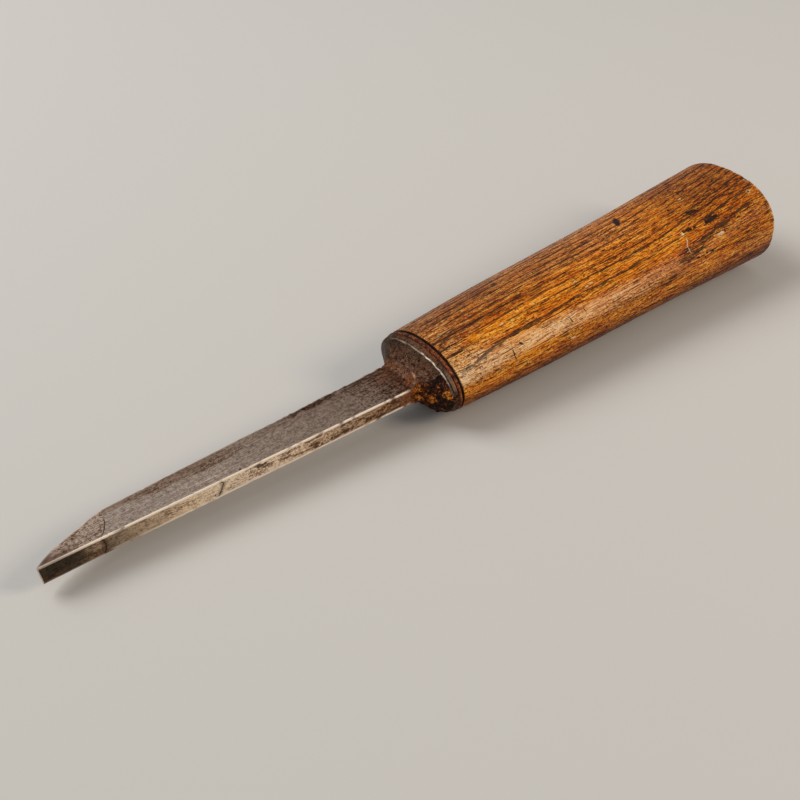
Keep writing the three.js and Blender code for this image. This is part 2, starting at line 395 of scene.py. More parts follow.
@dataclass
class Blade:
    """The bar that the forging and its steel tip share, as it is ground from end to end."""

    length: float = 132.5
    edge_width: float = 6.35
    width_at_bolster: float = 5.7
    back_at_tip: float = 0.5
    back_at_bolster: float = 8.1
    front_at_tip: float = 9.1
    front_at_bolster: float = 8.3
    relief_share: float = 0.04
    edge_skew: float = 0.8
    edge_flat: float = 0.2
    bevel_length: float = 27.0
    bevel_along_shares: tuple[float, ...] = (0.0, 0.08, 0.23, 0.79, 0.9, 1.0, 1.06)
    bevel_height_shares: tuple[float, ...] = (0.0, 0.19, 0.41, 0.94, 0.99, 1.0, 1.0)
    seam_depths: tuple[float, ...] = (-1.4, -0.8, 1.1, 3.2, 5.9, 8.9)
    seam_from_tip: tuple[float, ...] = (19.4, 20.1, 21.4, 22.7, 23.8, 24.6)
    seam_hook: float = 1.0
    cap_share: float = 0.97
    arris: float = 0.35
    skin: float = 0.03
    corner_steps: int = 2
    long_steps: int = 13
    short_steps: int = 6

    def back(self, x: Values | float) -> Values:
        """Y of the flat back."""
        fall = self.back_at_tip - self.back_at_bolster
        return -self.back_at_tip + fall * (x + self.length) / self.length

    def front(self, x: Values | float) -> Values:
        """Y of the front, which the bevel cuts down towards the edge.

        Args:
            x: Place along the tool.

        Returns:
            Y.
        """
        rise = self.front_at_bolster - self.front_at_tip
        plain = self.front_at_tip + rise * (x + self.length) / self.length
        heel = self.bevel_length - self.length
        low = -self.back_at_tip + self.edge_flat
        top = self.front_at_tip + rise * self.bevel_length / self.length
        along = (x + self.length) / self.bevel_length
        share = np.interp(along, self.bevel_along_shares, self.bevel_height_shares)
        return np.where(x < heel, low + (top - low) * share, plain)

    def half_width(self, x: Values | float, y: Values | float) -> Values:
        """Half the width between the narrow sides.

        Args:
            x: Place along the tool.
            y: Place across the blade's depth.

        Returns:
            Millimetres.
        """
        taper = self.width_at_bolster - self.edge_width
        at_back = self.edge_width + taper * (x + self.length) / self.length
        return (at_back - self.relief_share * (y - self.back(x))) / 2

    def seam(self, y: Values, z: Values) -> Values:
        """X of the weld between the steel and the iron, which hooks forward on the flat back.

        Args:
            y: Place across the blade's depth.
            z: Place across its width.

        Returns:
            X.
        """
        straight = through(y, self.seam_depths, self.seam_from_tip) - self.length
        hooked = ease(y, 1.5, -1.0) * self.seam_hook * ((2 * z / self.edge_width) ** 2 - 0.4)
        return straight - hooked

    def cap(self, ring: Points, gap: float) -> Points:
        """Draw a section at the weld in a little, to close a piece there with a crisp edge.

        Args:
            ring: The section.
            gap: How far from the weld it lies.

        Returns:
            The smaller section.
        """
        middle = ring.mean(axis=0)
        inner = middle + (ring - middle) * self.cap_share
        inner[:, 0] = self.seam(inner[:, 1], inner[:, 2]) + gap
        return inner

    def from_seam(self, points: Points, side: int) -> Values:
        """Distance from the weld, which counts as more near the front, where the hairline fades.

        Args:
            points: Places in millimetres.
            side: 1 for the iron's side of the weld and -1 for the steel's.

        Returns:
            Millimetres, none below zero.
        """
        x, y, z = points.T
        return np.maximum(side * (x - self.seam(y, z)) + 0.35 * ease(y, 3.5, 6.0), 0.0)

    def from_arris(self, points: Points) -> tuple[Values, Values]:
        """Distance from the bar's nearest long edge.

        Args:
            points: Places in millimetres.

        Returns:
            Millimetres, and whether that edge is one of the flat back's.
        """
        x, y, z = points.T
        to_side = np.abs(np.abs(z) - self.half_width(x, y))
        to_back, to_front = np.abs(y - self.back(x)), np.abs(y - self.front(x))
        at_back, at_front = np.hypot(to_back, to_side), np.hypot(to_front, to_side)
        return np.minimum(at_back, at_front), at_back < at_front

    def edge(self, z: Values) -> Values:
        """X of the cutting edge, which is worn a little out of square."""
        return -self.length + self.edge_skew * (0.5 - z / self.edge_width)

    def square(self) -> Points:
        """Points in order round a unit square, with its corners eased for an arris on this bar.

        Returns:
            Pairs between -1 and 1, the shares of the bar's half depth and half width.
        """
        half_depth = (self.front_at_bolster + self.back_at_bolster) / 2
        ease_y = self.arris / half_depth
        ease_z = 2 * self.arris / self.width_at_bolster
        points: list[tuple[float, float]] = []
        corners = ((1, 1), (-1, 1), (-1, -1), (1, -1))
        for index, (sign_y, sign_z) in enumerate(corners):
            for step in range(self.corner_steps + 1):
                angle = math.radians(90 * (index + step / self.corner_steps))
                points.append((sign_y * (1 - ease_y) + ease_y * math.cos(angle),
                               sign_z * (1 - ease_z) + ease_z * math.sin(angle)))
            next_y, next_z = corners[(index + 1) % len(corners)]
            steps = self.long_steps if next_z == sign_z else self.short_steps
            turn = math.radians(90 * (index + 1))
            start = np.array(points[-1])
            end = np.array((next_y * (1 - ease_y) + ease_y * math.cos(turn),
                            next_z * (1 - ease_z) + ease_z * math.sin(turn)))
            points += [tuple(start + (end - start) * step / steps) for step in range(1, steps)]
        return np.array(points)

    def section(self, x: Values, square: Points) -> Points:
        """Set the square out on the bar at x, which may differ from point to point.

        Args:
            x: Place along the tool, for all points or for each.
            square: The ring's points on the unit square.

        Returns:
            The section's points.
        """
        back, front = self.back(x) + self.skin, self.front(x) - self.skin
        y = (front + back) / 2 + square[:, 0] * (front - back) / 2
        z = square[:, 1] * (self.half_width(x, y) - self.skin)
        return np.stack([np.broadcast_to(x, y.shape), y, z], axis=1)


class WearAndLight(Enum):
    """What old iron shows, wear and painted highlights, painted on the mesh as a share or a distance in
    millimetres.
    """

    BACK = "flat_back"
    BAND = "brown_band"
    RUST = "rust"
    CRUST = "crust"
    OCHRE = "ochre"
    PITS = "pits"
    DARK = "dark"
    PALE = "pale"
    RUBBED_AND_LIT = "rubbed_and_lit"
    EDGE = "edge_mm"
    SEAM = "seam_mm"
    HAIR = "hair_mm"


@dataclass(frozen=True)
class OldIron:
    """Wrought iron, forged, ground and gone brown: mottled grey-brown patina over dull metal.

    Its sheen is soft and satin and it pales from the bolster to the cutting edge. Pits hold dark oxide, rust
    near the bolster is matt and orange, and the arrises that hands and cloths rub stay bright. A painted
    highlight lies along the arrises and the bolster's lip and on the rim's side and the neck, and the flat
    back is painted near black towards the cutting edge as a dark reflection.
    """

    name: str = "wrought_iron_forged_patinated"
    side_tones: Stops = ((0.0, "#a8988b"), (0.1, "#bcab9d"), (0.3, "#c0afa2"), (0.42, "#c4b2a3"),
                         (0.55, "#bda99a"), (0.7, "#b39d8e"), (0.85, "#aa9384"), (0.93, "#876450"),
                         (1.0, "#6c5644"))
    back_tones_with_dark_reflection: Stops = ((0.04, "#463b2f"), (0.085, "#4c4134"), (0.12, "#76634f"), (0.17, "#a18b75"),
                         (0.23, "#cbb396"), (0.36, "#f0d8b8"), (0.46, "#fff0d4"), (0.58, "#f4dabc"),
                         (0.72, "#e4c8a8"), (0.84, "#c49d7a"), (0.94, "#ac7c52"))
    band: str = "#d9cabd"
    shade: str = "#80583f"
    cool_shade: str = "#807460"
    mottle: Stops = ((0.24, "#4e372b"), (0.42, "#a58f82"), (0.56, "#e4dad3"), (0.72, "#ffffff"))
    bright: str = "#ffecd6"
    oxide: str = "#2a1f19"
    speck: str = "#5a3a26"
    rust: str = "#7a4524"
    rust_orange: str = "#ae6230"
    crust_black: str = "#120803"
    crust_brown: str = "#55260a"
    crust_orange: str = "#b45c10"
    crust_yellow: str = "#f2b44a"
    bump_mm: float = 0.10

    def material(self, tool: ToolFrame) -> Material:
        """Build the material.

        Args:
            tool: Where the tool's frame stands.

        Returns:
            The finished material.
        """
        material, tree = blank_material(self.name)
        add = partial(add_node, tree)
        place = tool.coordinates(tree)
        wear_and_light = {kind: add("Attribute", out="Fac", attribute_name=kind.value) for kind in WearAndLight}

        # The patina's tone along the blade, apart for the narrow sides and the flat back. On the flat back
        # the dark end towards the cutting edge is a painted dark reflection.
        along = add("MapRange", {"Value": add("SeparateXYZ", (place,)), "From Min": -Blade.length,
                                 "From Max": 0.0})
        sides = add("ValToRGB", {"Fac": along}, stops=self.side_tones)
        back = add("ValToRGB", {"Fac": along}, stops=self.back_tones_with_dark_reflection)
        base = add("Mix", {MIX_FACTOR: wear_and_light[WearAndLight.BACK], MIX_A: sides, MIX_B: back}, **COLOURS)
        base = add("Mix", {MIX_FACTOR: wear_and_light[WearAndLight.BAND], MIX_A: base, MIX_B: linear(self.band)}, **TINTED)
        cast = add("TexNoise", {"Vector": place, "Scale": 0.13, "Detail": 3.0, "Roughness": 0.6})
        cast = add("MapRange", {"Value": cast, "From Min": 0.42, "From Max": 0.56})
        shade = add("Mix", {MIX_FACTOR: cast, MIX_A: linear(self.shade), MIX_B: linear(self.cool_shade)},
                    **COLOURS)
        base = add("Mix", {MIX_FACTOR: wear_and_light[WearAndLight.DARK], MIX_A: base, MIX_B: shade}, **TINTED)

        # Mottling of 0.4 and 1.3 mm goes browner as it darkens. Grinding has left lines of 6 mm by 0.3 mm.
        drawn = add("VectorMath", (place, (0.6, 1.0, 1.0)), operation="MULTIPLY")
        grain = add("TexNoise", {"Vector": drawn, "Scale": 2.4, "Detail": 3.0, "Roughness": 0.7})
        patchy = add("TexNoise", {"Vector": place, "Scale": 0.75, "Detail": 3.0, "Roughness": 0.6})
        stretched = add("VectorMath", (place, (0.16, 3.0, 3.0)), operation="MULTIPLY")
        lines = add("TexNoise", {"Vector": stretched, "Scale": 1.0, "Detail": 2.0, "Roughness": 0.6})
        tone: Any = -1.64
        for pattern, strength in ((grain, 2.0), (patchy, 1.1), (lines, 1.2)):
            tone = add("Math", (pattern, strength, tone), operation="MULTIPLY_ADD")
        amount = add("MapRange", {"Value": wear_and_light[WearAndLight.PITS], "To Min": 0.45, "To Max": 1.5})
        calm = add("Math", (wear_and_light[WearAndLight.BACK], -0.25, 1.0), operation="MULTIPLY_ADD")
        amount = add("Math", (amount, calm), operation="MULTIPLY")
        tint = add("ValToRGB", {"Fac": tone}, stops=self.mottle)
        base = add("Mix", {MIX_FACTOR: amount, MIX_A: base, MIX_B: tint}, **TINTED)
        # The pale mask includes the painted highlights on the rim's side and on top of the neck.
        paler = add("MapRange", {"Value": wear_and_light[WearAndLight.PALE], "To Min": 1.0, "To Max": 2.2})
        base = add("VectorMath", {0: base, "Scale": paler}, operation="SCALE")
        base = add("VectorMath", (base, (1.0, 0.8, 0.6)), operation="MINIMUM")

        # Pits are specks of 0.6 to 2 mm, drawn out along the blade, close together where the paint says so.
        # On the flat back they have joined into ragged patches of 2 to 5 mm.
        bent = add("TexNoise", {"Vector": place, "Scale": 2.0, "Detail": 2.0}, out="Color")
        bent = add("VectorMath", (bent, (0.8, 0.8, 0.8), place), operation="MULTIPLY_ADD")
        drawn = add("VectorMath", (bent, (0.42, 1.0, 1.0)), operation="MULTIPLY")
        cells = add("TexNoise", {"Vector": drawn, "Scale": 1.0, "Detail": 4.0, "Roughness": 0.68})
        coarse = add("VectorMath", (bent, (0.22, 0.55, 0.55)), operation="MULTIPLY")
        patches = add("TexNoise", {"Vector": coarse, "Scale": 1.0, "Detail": 6.0, "Roughness": 0.78})
        patches = add("Math", (cells, -0.4, patches), operation="MULTIPLY_ADD")
        patches = add("Math", (patches, 0.3), operation="SUBTRACT")
        cells = add("Math", (patches, wear_and_light[WearAndLight.BACK], cells), operation="MULTIPLY_ADD")
        level = add("MapRange", {"Value": wear_and_light[WearAndLight.PITS], "To Min": 0.70, "To Max": 0.46})
        above = add("Math", (cells, level), operation="SUBTRACT")
        specks = add("MapRange", {"Value": above, "From Min": -0.02, "From Max": 0.03, "To Max": 0.85},
                     **SMOOTH)
        pits = add("MapRange", {"Value": above, "From Min": 0.09, "From Max": 0.18, "To Max": 0.7}, **SMOOTH)
        base = add("Mix", {MIX_FACTOR: specks, MIX_A: base, MIX_B: linear(self.speck)}, **COLOURS)
        softer = add("Math", (wear_and_light[WearAndLight.BACK], -0.4, 1.0), operation="MULTIPLY_ADD")
        softer = add("Math", (pits, softer), operation="MULTIPLY")
        base = add("Mix", {MIX_FACTOR: softer, MIX_A: base, MIX_B: linear(self.oxide)}, **COLOURS)

        # Rust blooms in patches of 1 to 3 mm, browner at their edges and orange inside.
        bloom = add("TexNoise", {"Vector": bent, "Scale": 0.6, "Detail": 6.0, "Roughness": 0.72})
        depth = add("Math", (bloom, wear_and_light[WearAndLight.RUST]), operation="ADD")
        rusty = add("MapRange", {"Value": depth, "From Min": 0.85, "From Max": 1.1, "To Max": 0.9}, **SMOOTH)
        rust = add("ValToRGB", {"Fac": grain}, stops=[(0.36, self.oxide), (0.5, self.rust),
                                                      (0.68, self.rust_orange)])
        base = add("Mix", {MIX_FACTOR: rusty, MIX_A: base, MIX_B: rust}, **COLOURS)

        # The crust is black in its hollows and brown on its grains, with ochre where the paint says so.
        lumps = add("TexNoise", {"Vector": bent, "Scale": 0.85, "Detail": 5.0, "Roughness": 0.72,
                                 "Distortion": 0.6})
        ochre = add("Math", (wear_and_light[WearAndLight.OCHRE], 0.17, lumps), operation="MULTIPLY_ADD")
        crust = add("ValToRGB", {"Fac": ochre}, stops=[(0.5, self.crust_black), (0.58, self.crust_brown),
                                                       (0.66, self.crust_orange), (0.74, self.crust_yellow)])
        base = add("Mix", {MIX_FACTOR: wear_and_light[WearAndLight.CRUST], MIX_A: base, MIX_B: crust}, **COLOURS)

        # The weld is a dark hairline, and the edges' bright lines, partly rubbed metal and partly a painted
        # highlight, break up at nicks and rust.
        ragged = add("Math", (grain, 0.5, -0.25), operation="MULTIPLY_ADD")
        hair = add("Math", (wear_and_light[WearAndLight.HAIR],), operation="ABSOLUTE")
        nearest = add("Math", (wear_and_light[WearAndLight.SEAM], hair), operation="MINIMUM")
        from_seam = add("Math", (nearest, ragged), operation="ADD")
        seam, halo = (add("MapRange", {"Value": from_seam, "From Min": far, "From Max": near,
                                       "To Max": most}, **SMOOTH)
                      for far, near, most in ((0.32, 0.05, 0.85), (1.5, 0.2, 0.5)))
        halo = add("Math", (halo, wear_and_light[WearAndLight.BACK]), operation="MULTIPLY")
        for mask, colour in ((halo, self.speck), (seam, self.oxide)):
            base = add("Mix", {MIX_FACTOR: mask, MIX_A: base, MIX_B: linear(colour)}, **COLOURS)
        from_edge = add("Math", (wear_and_light[WearAndLight.EDGE], ragged), operation="ADD")
        line = add("MapRange", {"Value": from_edge, "From Min": 0.78, "From Max": 0.36}, **SMOOTH)
        rubbed_and_lit = add("Math", (line, wear_and_light[WearAndLight.RUBBED_AND_LIT]), operation="MULTIPLY")
        base = add("Mix", {MIX_FACTOR: rubbed_and_lit, MIX_A: base, MIX_B: linear(self.bright)}, **COLOURS)

        # Rust, crust and pits are matt. They and the edges' bright lines are hardly metallic, and the edges
        # keep their gloss.
        matt = add("Math", (rusty, wear_and_light[WearAndLight.CRUST]), operation="MAXIMUM")
        matt = add("Math", (matt, pits), operation="MAXIMUM")
        dull = add("Math", (matt, rubbed_and_lit), operation="MAXIMUM")
        metal = add("MapRange", {"Value": dull, "To Min": 0.85, "To Max": 0.05})
        rough = add("MapRange", {"Value": grain, "From Min": 0.3, "From Max": 0.7, "To Min": 0.36,
                                 "To Max": 0.5})
        rough = add("Math", (matt, 0.35, rough), operation="MULTIPLY_ADD")
        rough = add("Math", (wear_and_light[WearAndLight.PITS], 0.12, rough), operation="MULTIPLY_ADD")
        height = add("Math", (pits, -1.2, grain), operation="MULTIPLY_ADD")
        height = add("Math", (lumps, wear_and_light[WearAndLight.CRUST], height), operation="MULTIPLY_ADD")
        height = add("Math", (seam, -1.5, height), operation="MULTIPLY_ADD")
        bump = add("Bump", {"Height": height, "Strength": 0.6, "Distance": self.bump_mm * MM})
        shader = add("BsdfPrincipled", {"Base Color": base, "Metallic": metal, "Roughness": rough,
                                        "Specular IOR Level": 0.2, "Normal": bump})
        add("OutputMaterial", {"Surface": shader})
        return material


@dataclass(frozen=True)
class WasherLeather:
    """Vegetable-tanned leather, cut as a washer and squeezed hard: dark red-brown, matt and frayed."""

    name: str = "sole_leather_compressed"
    dark: str = "#280e08"
    middle: str = "#6a3018"
    light: str = "#b46c38"
    gap: str = "#120906"
    back_edge: float = 3.1

    def material(self, tool: ToolFrame) -> Material:
        """Build the material from fibres that run round the washer's edge.

        Args:
            tool: Where the tool's frame stands.

        Returns:
            The finished material.
        """
        material, tree = blank_material(self.name)
        add = partial(add_node, tree)
        place = tool.coordinates(tree)
        layers = add("VectorMath", (place, (1.7, 1.0, 1.0)), operation="MULTIPLY")
        fibres = add("TexNoise", {"Vector": layers, "Scale": 1.0, "Detail": 5.0, "Roughness": 0.75})
        blotches = add("TexNoise", {"Vector": place, "Scale": 0.55, "Detail": 4.0, "Roughness": 0.65})
        tone: Any = -0.2
        for pattern, strength in ((fibres, 0.9), (blotches, 0.5)):
            tone = add("Math", (pattern, strength, tone), operation="MULTIPLY_ADD")
        colour = add("ValToRGB", {"Fac": tone}, stops=[(0.4, self.dark), (0.5, self.middle),
                                                       (0.64, self.light)])
        # Its tone is painted by the turn round it, as painted light: paler where the highlight lies on the
        # near upper side, and darker away from there, down to near black on the far top and underneath.
        rubbed_and_lit = add("Attribute", out="Fac", attribute_name="rubbed_and_lit")
        level = add("MapRange", {"Value": rubbed_and_lit, "To Min": 0.5, "To Max": 1.35})
        colour = add("VectorMath", {0: colour, "Scale": level}, operation="SCALE")
        # Where the leather meets the wood its back edge is painted black, a painted shade in the gap.
        joint_shade = add("MapRange", {"Value": add("SeparateXYZ", (place,)), "From Min": self.back_edge - 0.45,
                                 "From Max": self.back_edge - 0.15}, **SMOOTH)
        colour = add("Mix", {MIX_FACTOR: joint_shade, MIX_A: colour, MIX_B: linear(self.gap)}, **COLOURS)
        bump = add("Bump", {"Height": fibres, "Strength": 0.7, "Distance": 0.15 * MM})
        shader = add("BsdfPrincipled", {"Base Color": colour, "Roughness": 0.72, "Normal": bump,
                                        "Specular IOR Level": 0.25})
        add("OutputMaterial", {"Surface": shader})
        return material


class MarkKind(Enum):
    """What a mark on the wood is."""

    STAIN = "stain"
    HOLE = "hole"
    FLECK = "fleck"
    SCRATCH = "scratch"


@dataclass(frozen=True)
class Mark:
    """One mark of use on the handle.

    Attributes:
        kind: What it is.
        x: Place along the tool.
        angle: Place round it, in degrees from +Y over +Z.
        length: Its length along the grain.
        breadth: Its breadth round the handle.
        slant: How far its length is turned off the grain, in degrees.
        strength: How much of it shows, where 1 is all.
    """

    kind: MarkKind
    x: float
    angle: float
    length: float
    breadth: float
    slant: float = 0.0
    strength: float = 1.0


@dataclass(frozen=True)
class OiledAsh:
    """Ash, turned, oiled and rubbed for a century: amber with open pores that hold black dirt.

    The pores stand in a band at each growth ring, so dark broken lines run along the grain, and wax gives
    the high places a soft broad sheen. A band along the near side's ridge is painted paler, partly as
    handled wood and partly as a painted highlight, the underside is painted darker as shade, and a band in
    front that faces the camera and the front lamp is painted brighter amber as painted light.
    """

    name: str = "ash_turned_oiled_worn"
    tones: Stops = ((0.28, "#6a2a00"), (0.41, "#ba5900"), (0.5, "#e58000"), (0.59, "#f4980a"),
                    (0.72, "#fec056"))
    dry_and_lit: Stops = ((0.28, "#5a2e14"), (0.4, "#9a5a28"), (0.5, "#cc8a44"), (0.64, "#f0c080"))
    late: str = "#e09a6a"
    pore: str = "#1e0e06"
    pore_wear_and_light: str = "#4e2818"
    grime_and_shade: str = "#a8907c"
    stain: str = "#24130c"
    bare_and_highlit: Stops = ((0.3, "#b6652b"), (0.46, "#eba24b"), (0.6, "#ffc884"), (0.72, "#ffe0ba"))
    pale: str = "#f6e2b4"
    end_grain: str = "#c49a74"
    front_edge: float = 3.4
    mark_depth: float = 2.0
    bump_mm: float = 0.14

    def material(self, tool: ToolFrame, marks: Sequence[tuple[Mark, Vector, float]]) -> Material:
        """Build the material.

        Args:
            tool: Where the tool's frame stands.
            marks: The marks of use, each with its place on the surface and the way that the surface faces.

        Returns:
            The finished material.
        """
        material, tree = blank_material(self.name)
        add = partial(add_node, tree)
        place = tool.coordinates(tree)
        growth, grime_and_shade, wear_and_light, dried_and_lit, lined, cut = (
            add("Attribute", out="Fac", attribute_name=name)
            for name in ("growth", "grime_and_shade", "wear_and_light", "dried_and_lit", "lined", "end_grain"))

        def stretched(along: float, across: float, detail: float, rough: float = 0.5) -> Any:
            """Noise that is drawn out along the grain, with so many changes to a millimetre each way."""
            scaled = add("VectorMath", (place, (along, across, across)), operation="MULTIPLY")
            return add("TexNoise", {"Vector": scaled, "Scale": 1.0, "Detail": detail, "Roughness": rough})

        # Clouds of 60 mm by 6 mm, fibres of 8 mm by 0.3 mm and flecks of 1.2 mm by 0.4 mm, which are strong
        # in some places and faint in others. A negative share marks the band in front that faces the camera
        # and the front lamp, which is painted paler, clearer amber as painted light.
        clouds, fibres = stretched(0.016, 0.16, 2.0), stretched(0.12, 3.2, 2.0, 0.6)
        fleck = add("Math", (stretched(0.8, 2.8, 2.0, 0.75), 0.5), operation="SUBTRACT")
        busy = add("MapRange", {"Value": stretched(0.05, 0.16, 2.0), "From Min": 0.42, "From Max": 0.6,
                                "To Min": 0.0, "To Max": 0.7})
        busy = add("Math", (dried_and_lit, busy), operation="MAXIMUM")
        busier = add("MapRange", {"Value": busy, "To Min": 0.6, "To Max": 1.7})
        tone: Any = -0.245
        for pattern, strength in ((clouds, 0.25), (fibres, 1.22), (fleck, busier)):
            tone = add("Math", (pattern, strength, tone), operation="MULTIPLY_ADD")
        clear = add("Math", (dried_and_lit, 0.0), operation="MINIMUM")
        tone = add("Math", (clear, -0.2, tone), operation="MULTIPLY_ADD")
        base = add("Mix", {MIX_FACTOR: dried_and_lit, MIX_A: add("ValToRGB", {"Fac": tone}, stops=self.tones),
                           MIX_B: add("ValToRGB", {"Fac": tone}, stops=self.dry_and_lit)}, **COLOURS)

        # Each ring wavers, starts in a dark band of pores and ends in denser, redder wood.
        waver = stretched(0.3, 0.8, 2.0)
        ring = add("Math", (waver, 0.3, growth), operation="MULTIPLY_ADD")
        ring = add("Math", (ring, 0.15), operation="SUBTRACT")
        ring = add("Math", (ring,), operation="FRACT")
        late = add("MapRange", {"Value": ring, "From Min": 0.4, "From Max": 1.0, "To Max": 0.5})
        late = add("Math", (late, lined), operation="MULTIPLY")
        # The grime mask darkens the wood with old dirt in places and with painted shade along the underside.
        for mask, colour in ((late, self.late), (cut, self.end_grain), (grime_and_shade, self.grime_and_shade)):
            base = add("Mix", {MIX_FACTOR: mask, MIX_A: base, MIX_B: linear(colour)}, **TINTED)
        # Along the near side's ridge the wood is painted paler, partly as handled wood and partly as a
        # painted highlight, and so is the chipped edge of the striking end.
        bleached = add("Math", (dried_and_lit, 0.1, tone), operation="MULTIPLY_ADD")
        fibred = add("ValToRGB", {"Fac": bleached}, stops=self.bare_and_highlit)
        base = add("Mix", {MIX_FACTOR: wear_and_light, MIX_A: base, MIX_B: fibred}, **COLOURS)
        band = add("ValToRGB", {"Fac": ring}, stops=[(0.0, "#ffffff"), (0.09, "#e8e8e8"), (0.18, "#808080"),
                                                     (0.34, "#303030"), (0.86, "#282828"), (0.95, "#a0a0a0"),
                                                     (1.0, "#ffffff")])
        shown = stretched(0.06, 0.35, 1.0)
        shown = add("MapRange", {"Value": shown, "From Min": 0.38, "From Max": 0.55, "To Min": 0.4})
        shown = add("Math", (shown, lined), operation="MULTIPLY")
        band = add("Math", (band, shown), operation="MULTIPLY")
        dirty = add("Math", (grime_and_shade, 0.35, band), operation="MULTIPLY_ADD")
        dirty = add("Math", (wear_and_light, -0.2, dirty), operation="MULTIPLY_ADD")

        # Pores are dashes 1 to 9 mm long and 0.3 to 0.5 mm wide, which is a little more than real ones have,
        # so that they show.
        pores: Any = 0.0
        for along, across, least, most, dark in ((0.11, 2.2, 0.66, 0.43, 1.0), (0.3, 3.0, 0.65, 0.45, 0.9),
                                                 (0.9, 2.6, 0.68, 0.54, 0.75)):
            dashes = stretched(along, across, 1.0)
            level = add("MapRange", {"Value": dirty, "To Min": least, "To Max": most})
            mask = add("MapRange", {"Value": add("Math", (dashes, level), operation="SUBTRACT"),
                                    "From Max": 0.03, "To Max": dark}, **SMOOTH)
            pores = add("Math", (mask, pores), operation="MAXIMUM")

        # The first pores of a ring run together into a thin black line, and old oil has blotted along it.
        line = add("MapRange", {"Value": ring, "From Min": 0.15, "From Max": 0.08}, **SMOOTH)
        whole = add("MapRange", {"Value": stretched(0.05, 0.5, 2.0), "From Min": 0.42, "From Max": 0.5})
        line = add("Math", (line, whole), operation="MULTIPLY")
        line = add("Math", (line, shown), operation="MULTIPLY")
        blot = add("Math", (band, 0.12, stretched(0.4, 0.75, 2.0, 0.7)), operation="MULTIPLY_ADD")
        blot = add("MapRange", {"Value": blot, "From Min": 0.72, "From Max": 0.78, "To Max": 0.85}, **SMOOTH)
        for mask in (line, blot):
            pores = add("Math", (pores, mask), operation="MAXIMUM")
        # Pores are paler where the wood is painted paler along the ridge and at the chipped edge.
        dirt = add("Mix", {MIX_FACTOR: wear_and_light, MIX_A: linear(self.pore), MIX_B: linear(self.pore_wear_and_light)},
                   **COLOURS)
        base = add("Mix", {MIX_FACTOR: add("Math", (pores, 0.88), operation="MULTIPLY"), MIX_A: base,
                           MIX_B: dirt}, **COLOURS)

        # Handling has left short scratches two ways across the grain.
        for angle, seed in ((0.5, 0.0), (-0.8, 40.0)):
            crossed = add("VectorRotate", {"Vector": place, "Angle": angle}, rotation_type="Z_AXIS")
            crossed = add("VectorMath", (crossed, (2.2, 0.6, 0.6), (seed, seed, seed)),
                          operation="MULTIPLY_ADD")
            hairs = add("TexNoise", {"Vector": crossed, "Scale": 1.0, "Detail": 1.0})
            hairs = add("Math", (busy, 0.035, hairs), operation="MULTIPLY_ADD")
            hairs = add("MapRange", {"Value": hairs, "From Min": 0.68, "From Max": 0.72, "To Max": 0.6},
                        **SMOOTH)
            base = add("Mix", {MIX_FACTOR: hairs, MIX_A: base, MIX_B: linear(self.pore)}, **COLOURS)

        # Dark pinholes of half a millimetre lie in loose swarms, and the wood's front edge at the leather is
        # painted black, a painted shade in the gap.
        dots = add("TexVoronoi", {"Vector": place, "Scale": 0.55, "Randomness": 1.0}, out="Distance")
        chance = add("MapRange", {"Value": stretched(0.08, 0.2, 2.0), "From Min": 0.46, "From Max": 0.6,
                                  "To Min": 0.0, "To Max": 0.2})
        dots = add("MapRange", {"Value": add("Math", (chance, dots), operation="SUBTRACT"),
                                "From Max": 0.06, "To Max": 0.8}, **SMOOTH)
        base = add("Mix", {MIX_FACTOR: dots, MIX_A: base, MIX_B: linear(self.pore)}, **COLOURS)
        joint_shade = add("MapRange", {"Value": add("SeparateXYZ", (place,)), "From Min": self.front_edge + 0.3,
                                 "From Max": self.front_edge + 0.05}, **SMOOTH)

        # The marks of use have ragged outlines, and stains have soaked a few millimetres along the grain.
        ragged = add("TexNoise", {"Vector": place, "Scale": 1.1, "Detail": 4.0}, out="Color")
        ragged = add("VectorMath", (ragged, (0.5, 0.5, 0.5)), operation="SUBTRACT")
        shifted = add("VectorMath", (ragged, (1.2, 1.2, 1.2), place), operation="MULTIPLY_ADD")
        drawn = add("TexNoise", {"Vector": place, "Scale": 0.9, "Detail": 3.0}, out="Color")
        drawn = add("VectorMath", (drawn, (0.5, 0.5, 0.5)), operation="SUBTRACT")
        drawn = add("VectorMath", (drawn, (9.0, 2.0, 2.0), place), operation="MULTIPLY_ADD")
        masks = {kind: self._marks(tree, drawn if kind is MarkKind.STAIN else shifted,
                                   [mark for mark in marks if mark[0].kind is kind]) for kind in MarkKind}
        soaked = add("MapRange", {"Value": fibres, "From Min": 0.3, "From Max": 0.48, "To Min": 0.35})
        soaked = add("Math", (soaked, masks[MarkKind.STAIN]), operation="MULTIPLY")
        # The stain colour also paints the shade in the gap at the leather.
        dark = soaked
        for mask in (masks[MarkKind.HOLE], masks[MarkKind.SCRATCH], joint_shade):
            dark = add("Math", (dark, mask), operation="MAXIMUM")
        chalky = add("MapRange", {"Value": fibres, "From Min": 0.4, "From Max": 0.56, "To Min": 0.35})
        chalky = add("Math", (chalky, masks[MarkKind.FLECK]), operation="MULTIPLY")
        for mask, colour in ((chalky, self.pale), (dark, self.stain)):
            base = add("Mix", {MIX_FACTOR: mask, MIX_A: base, MIX_B: linear(colour)}, **COLOURS)

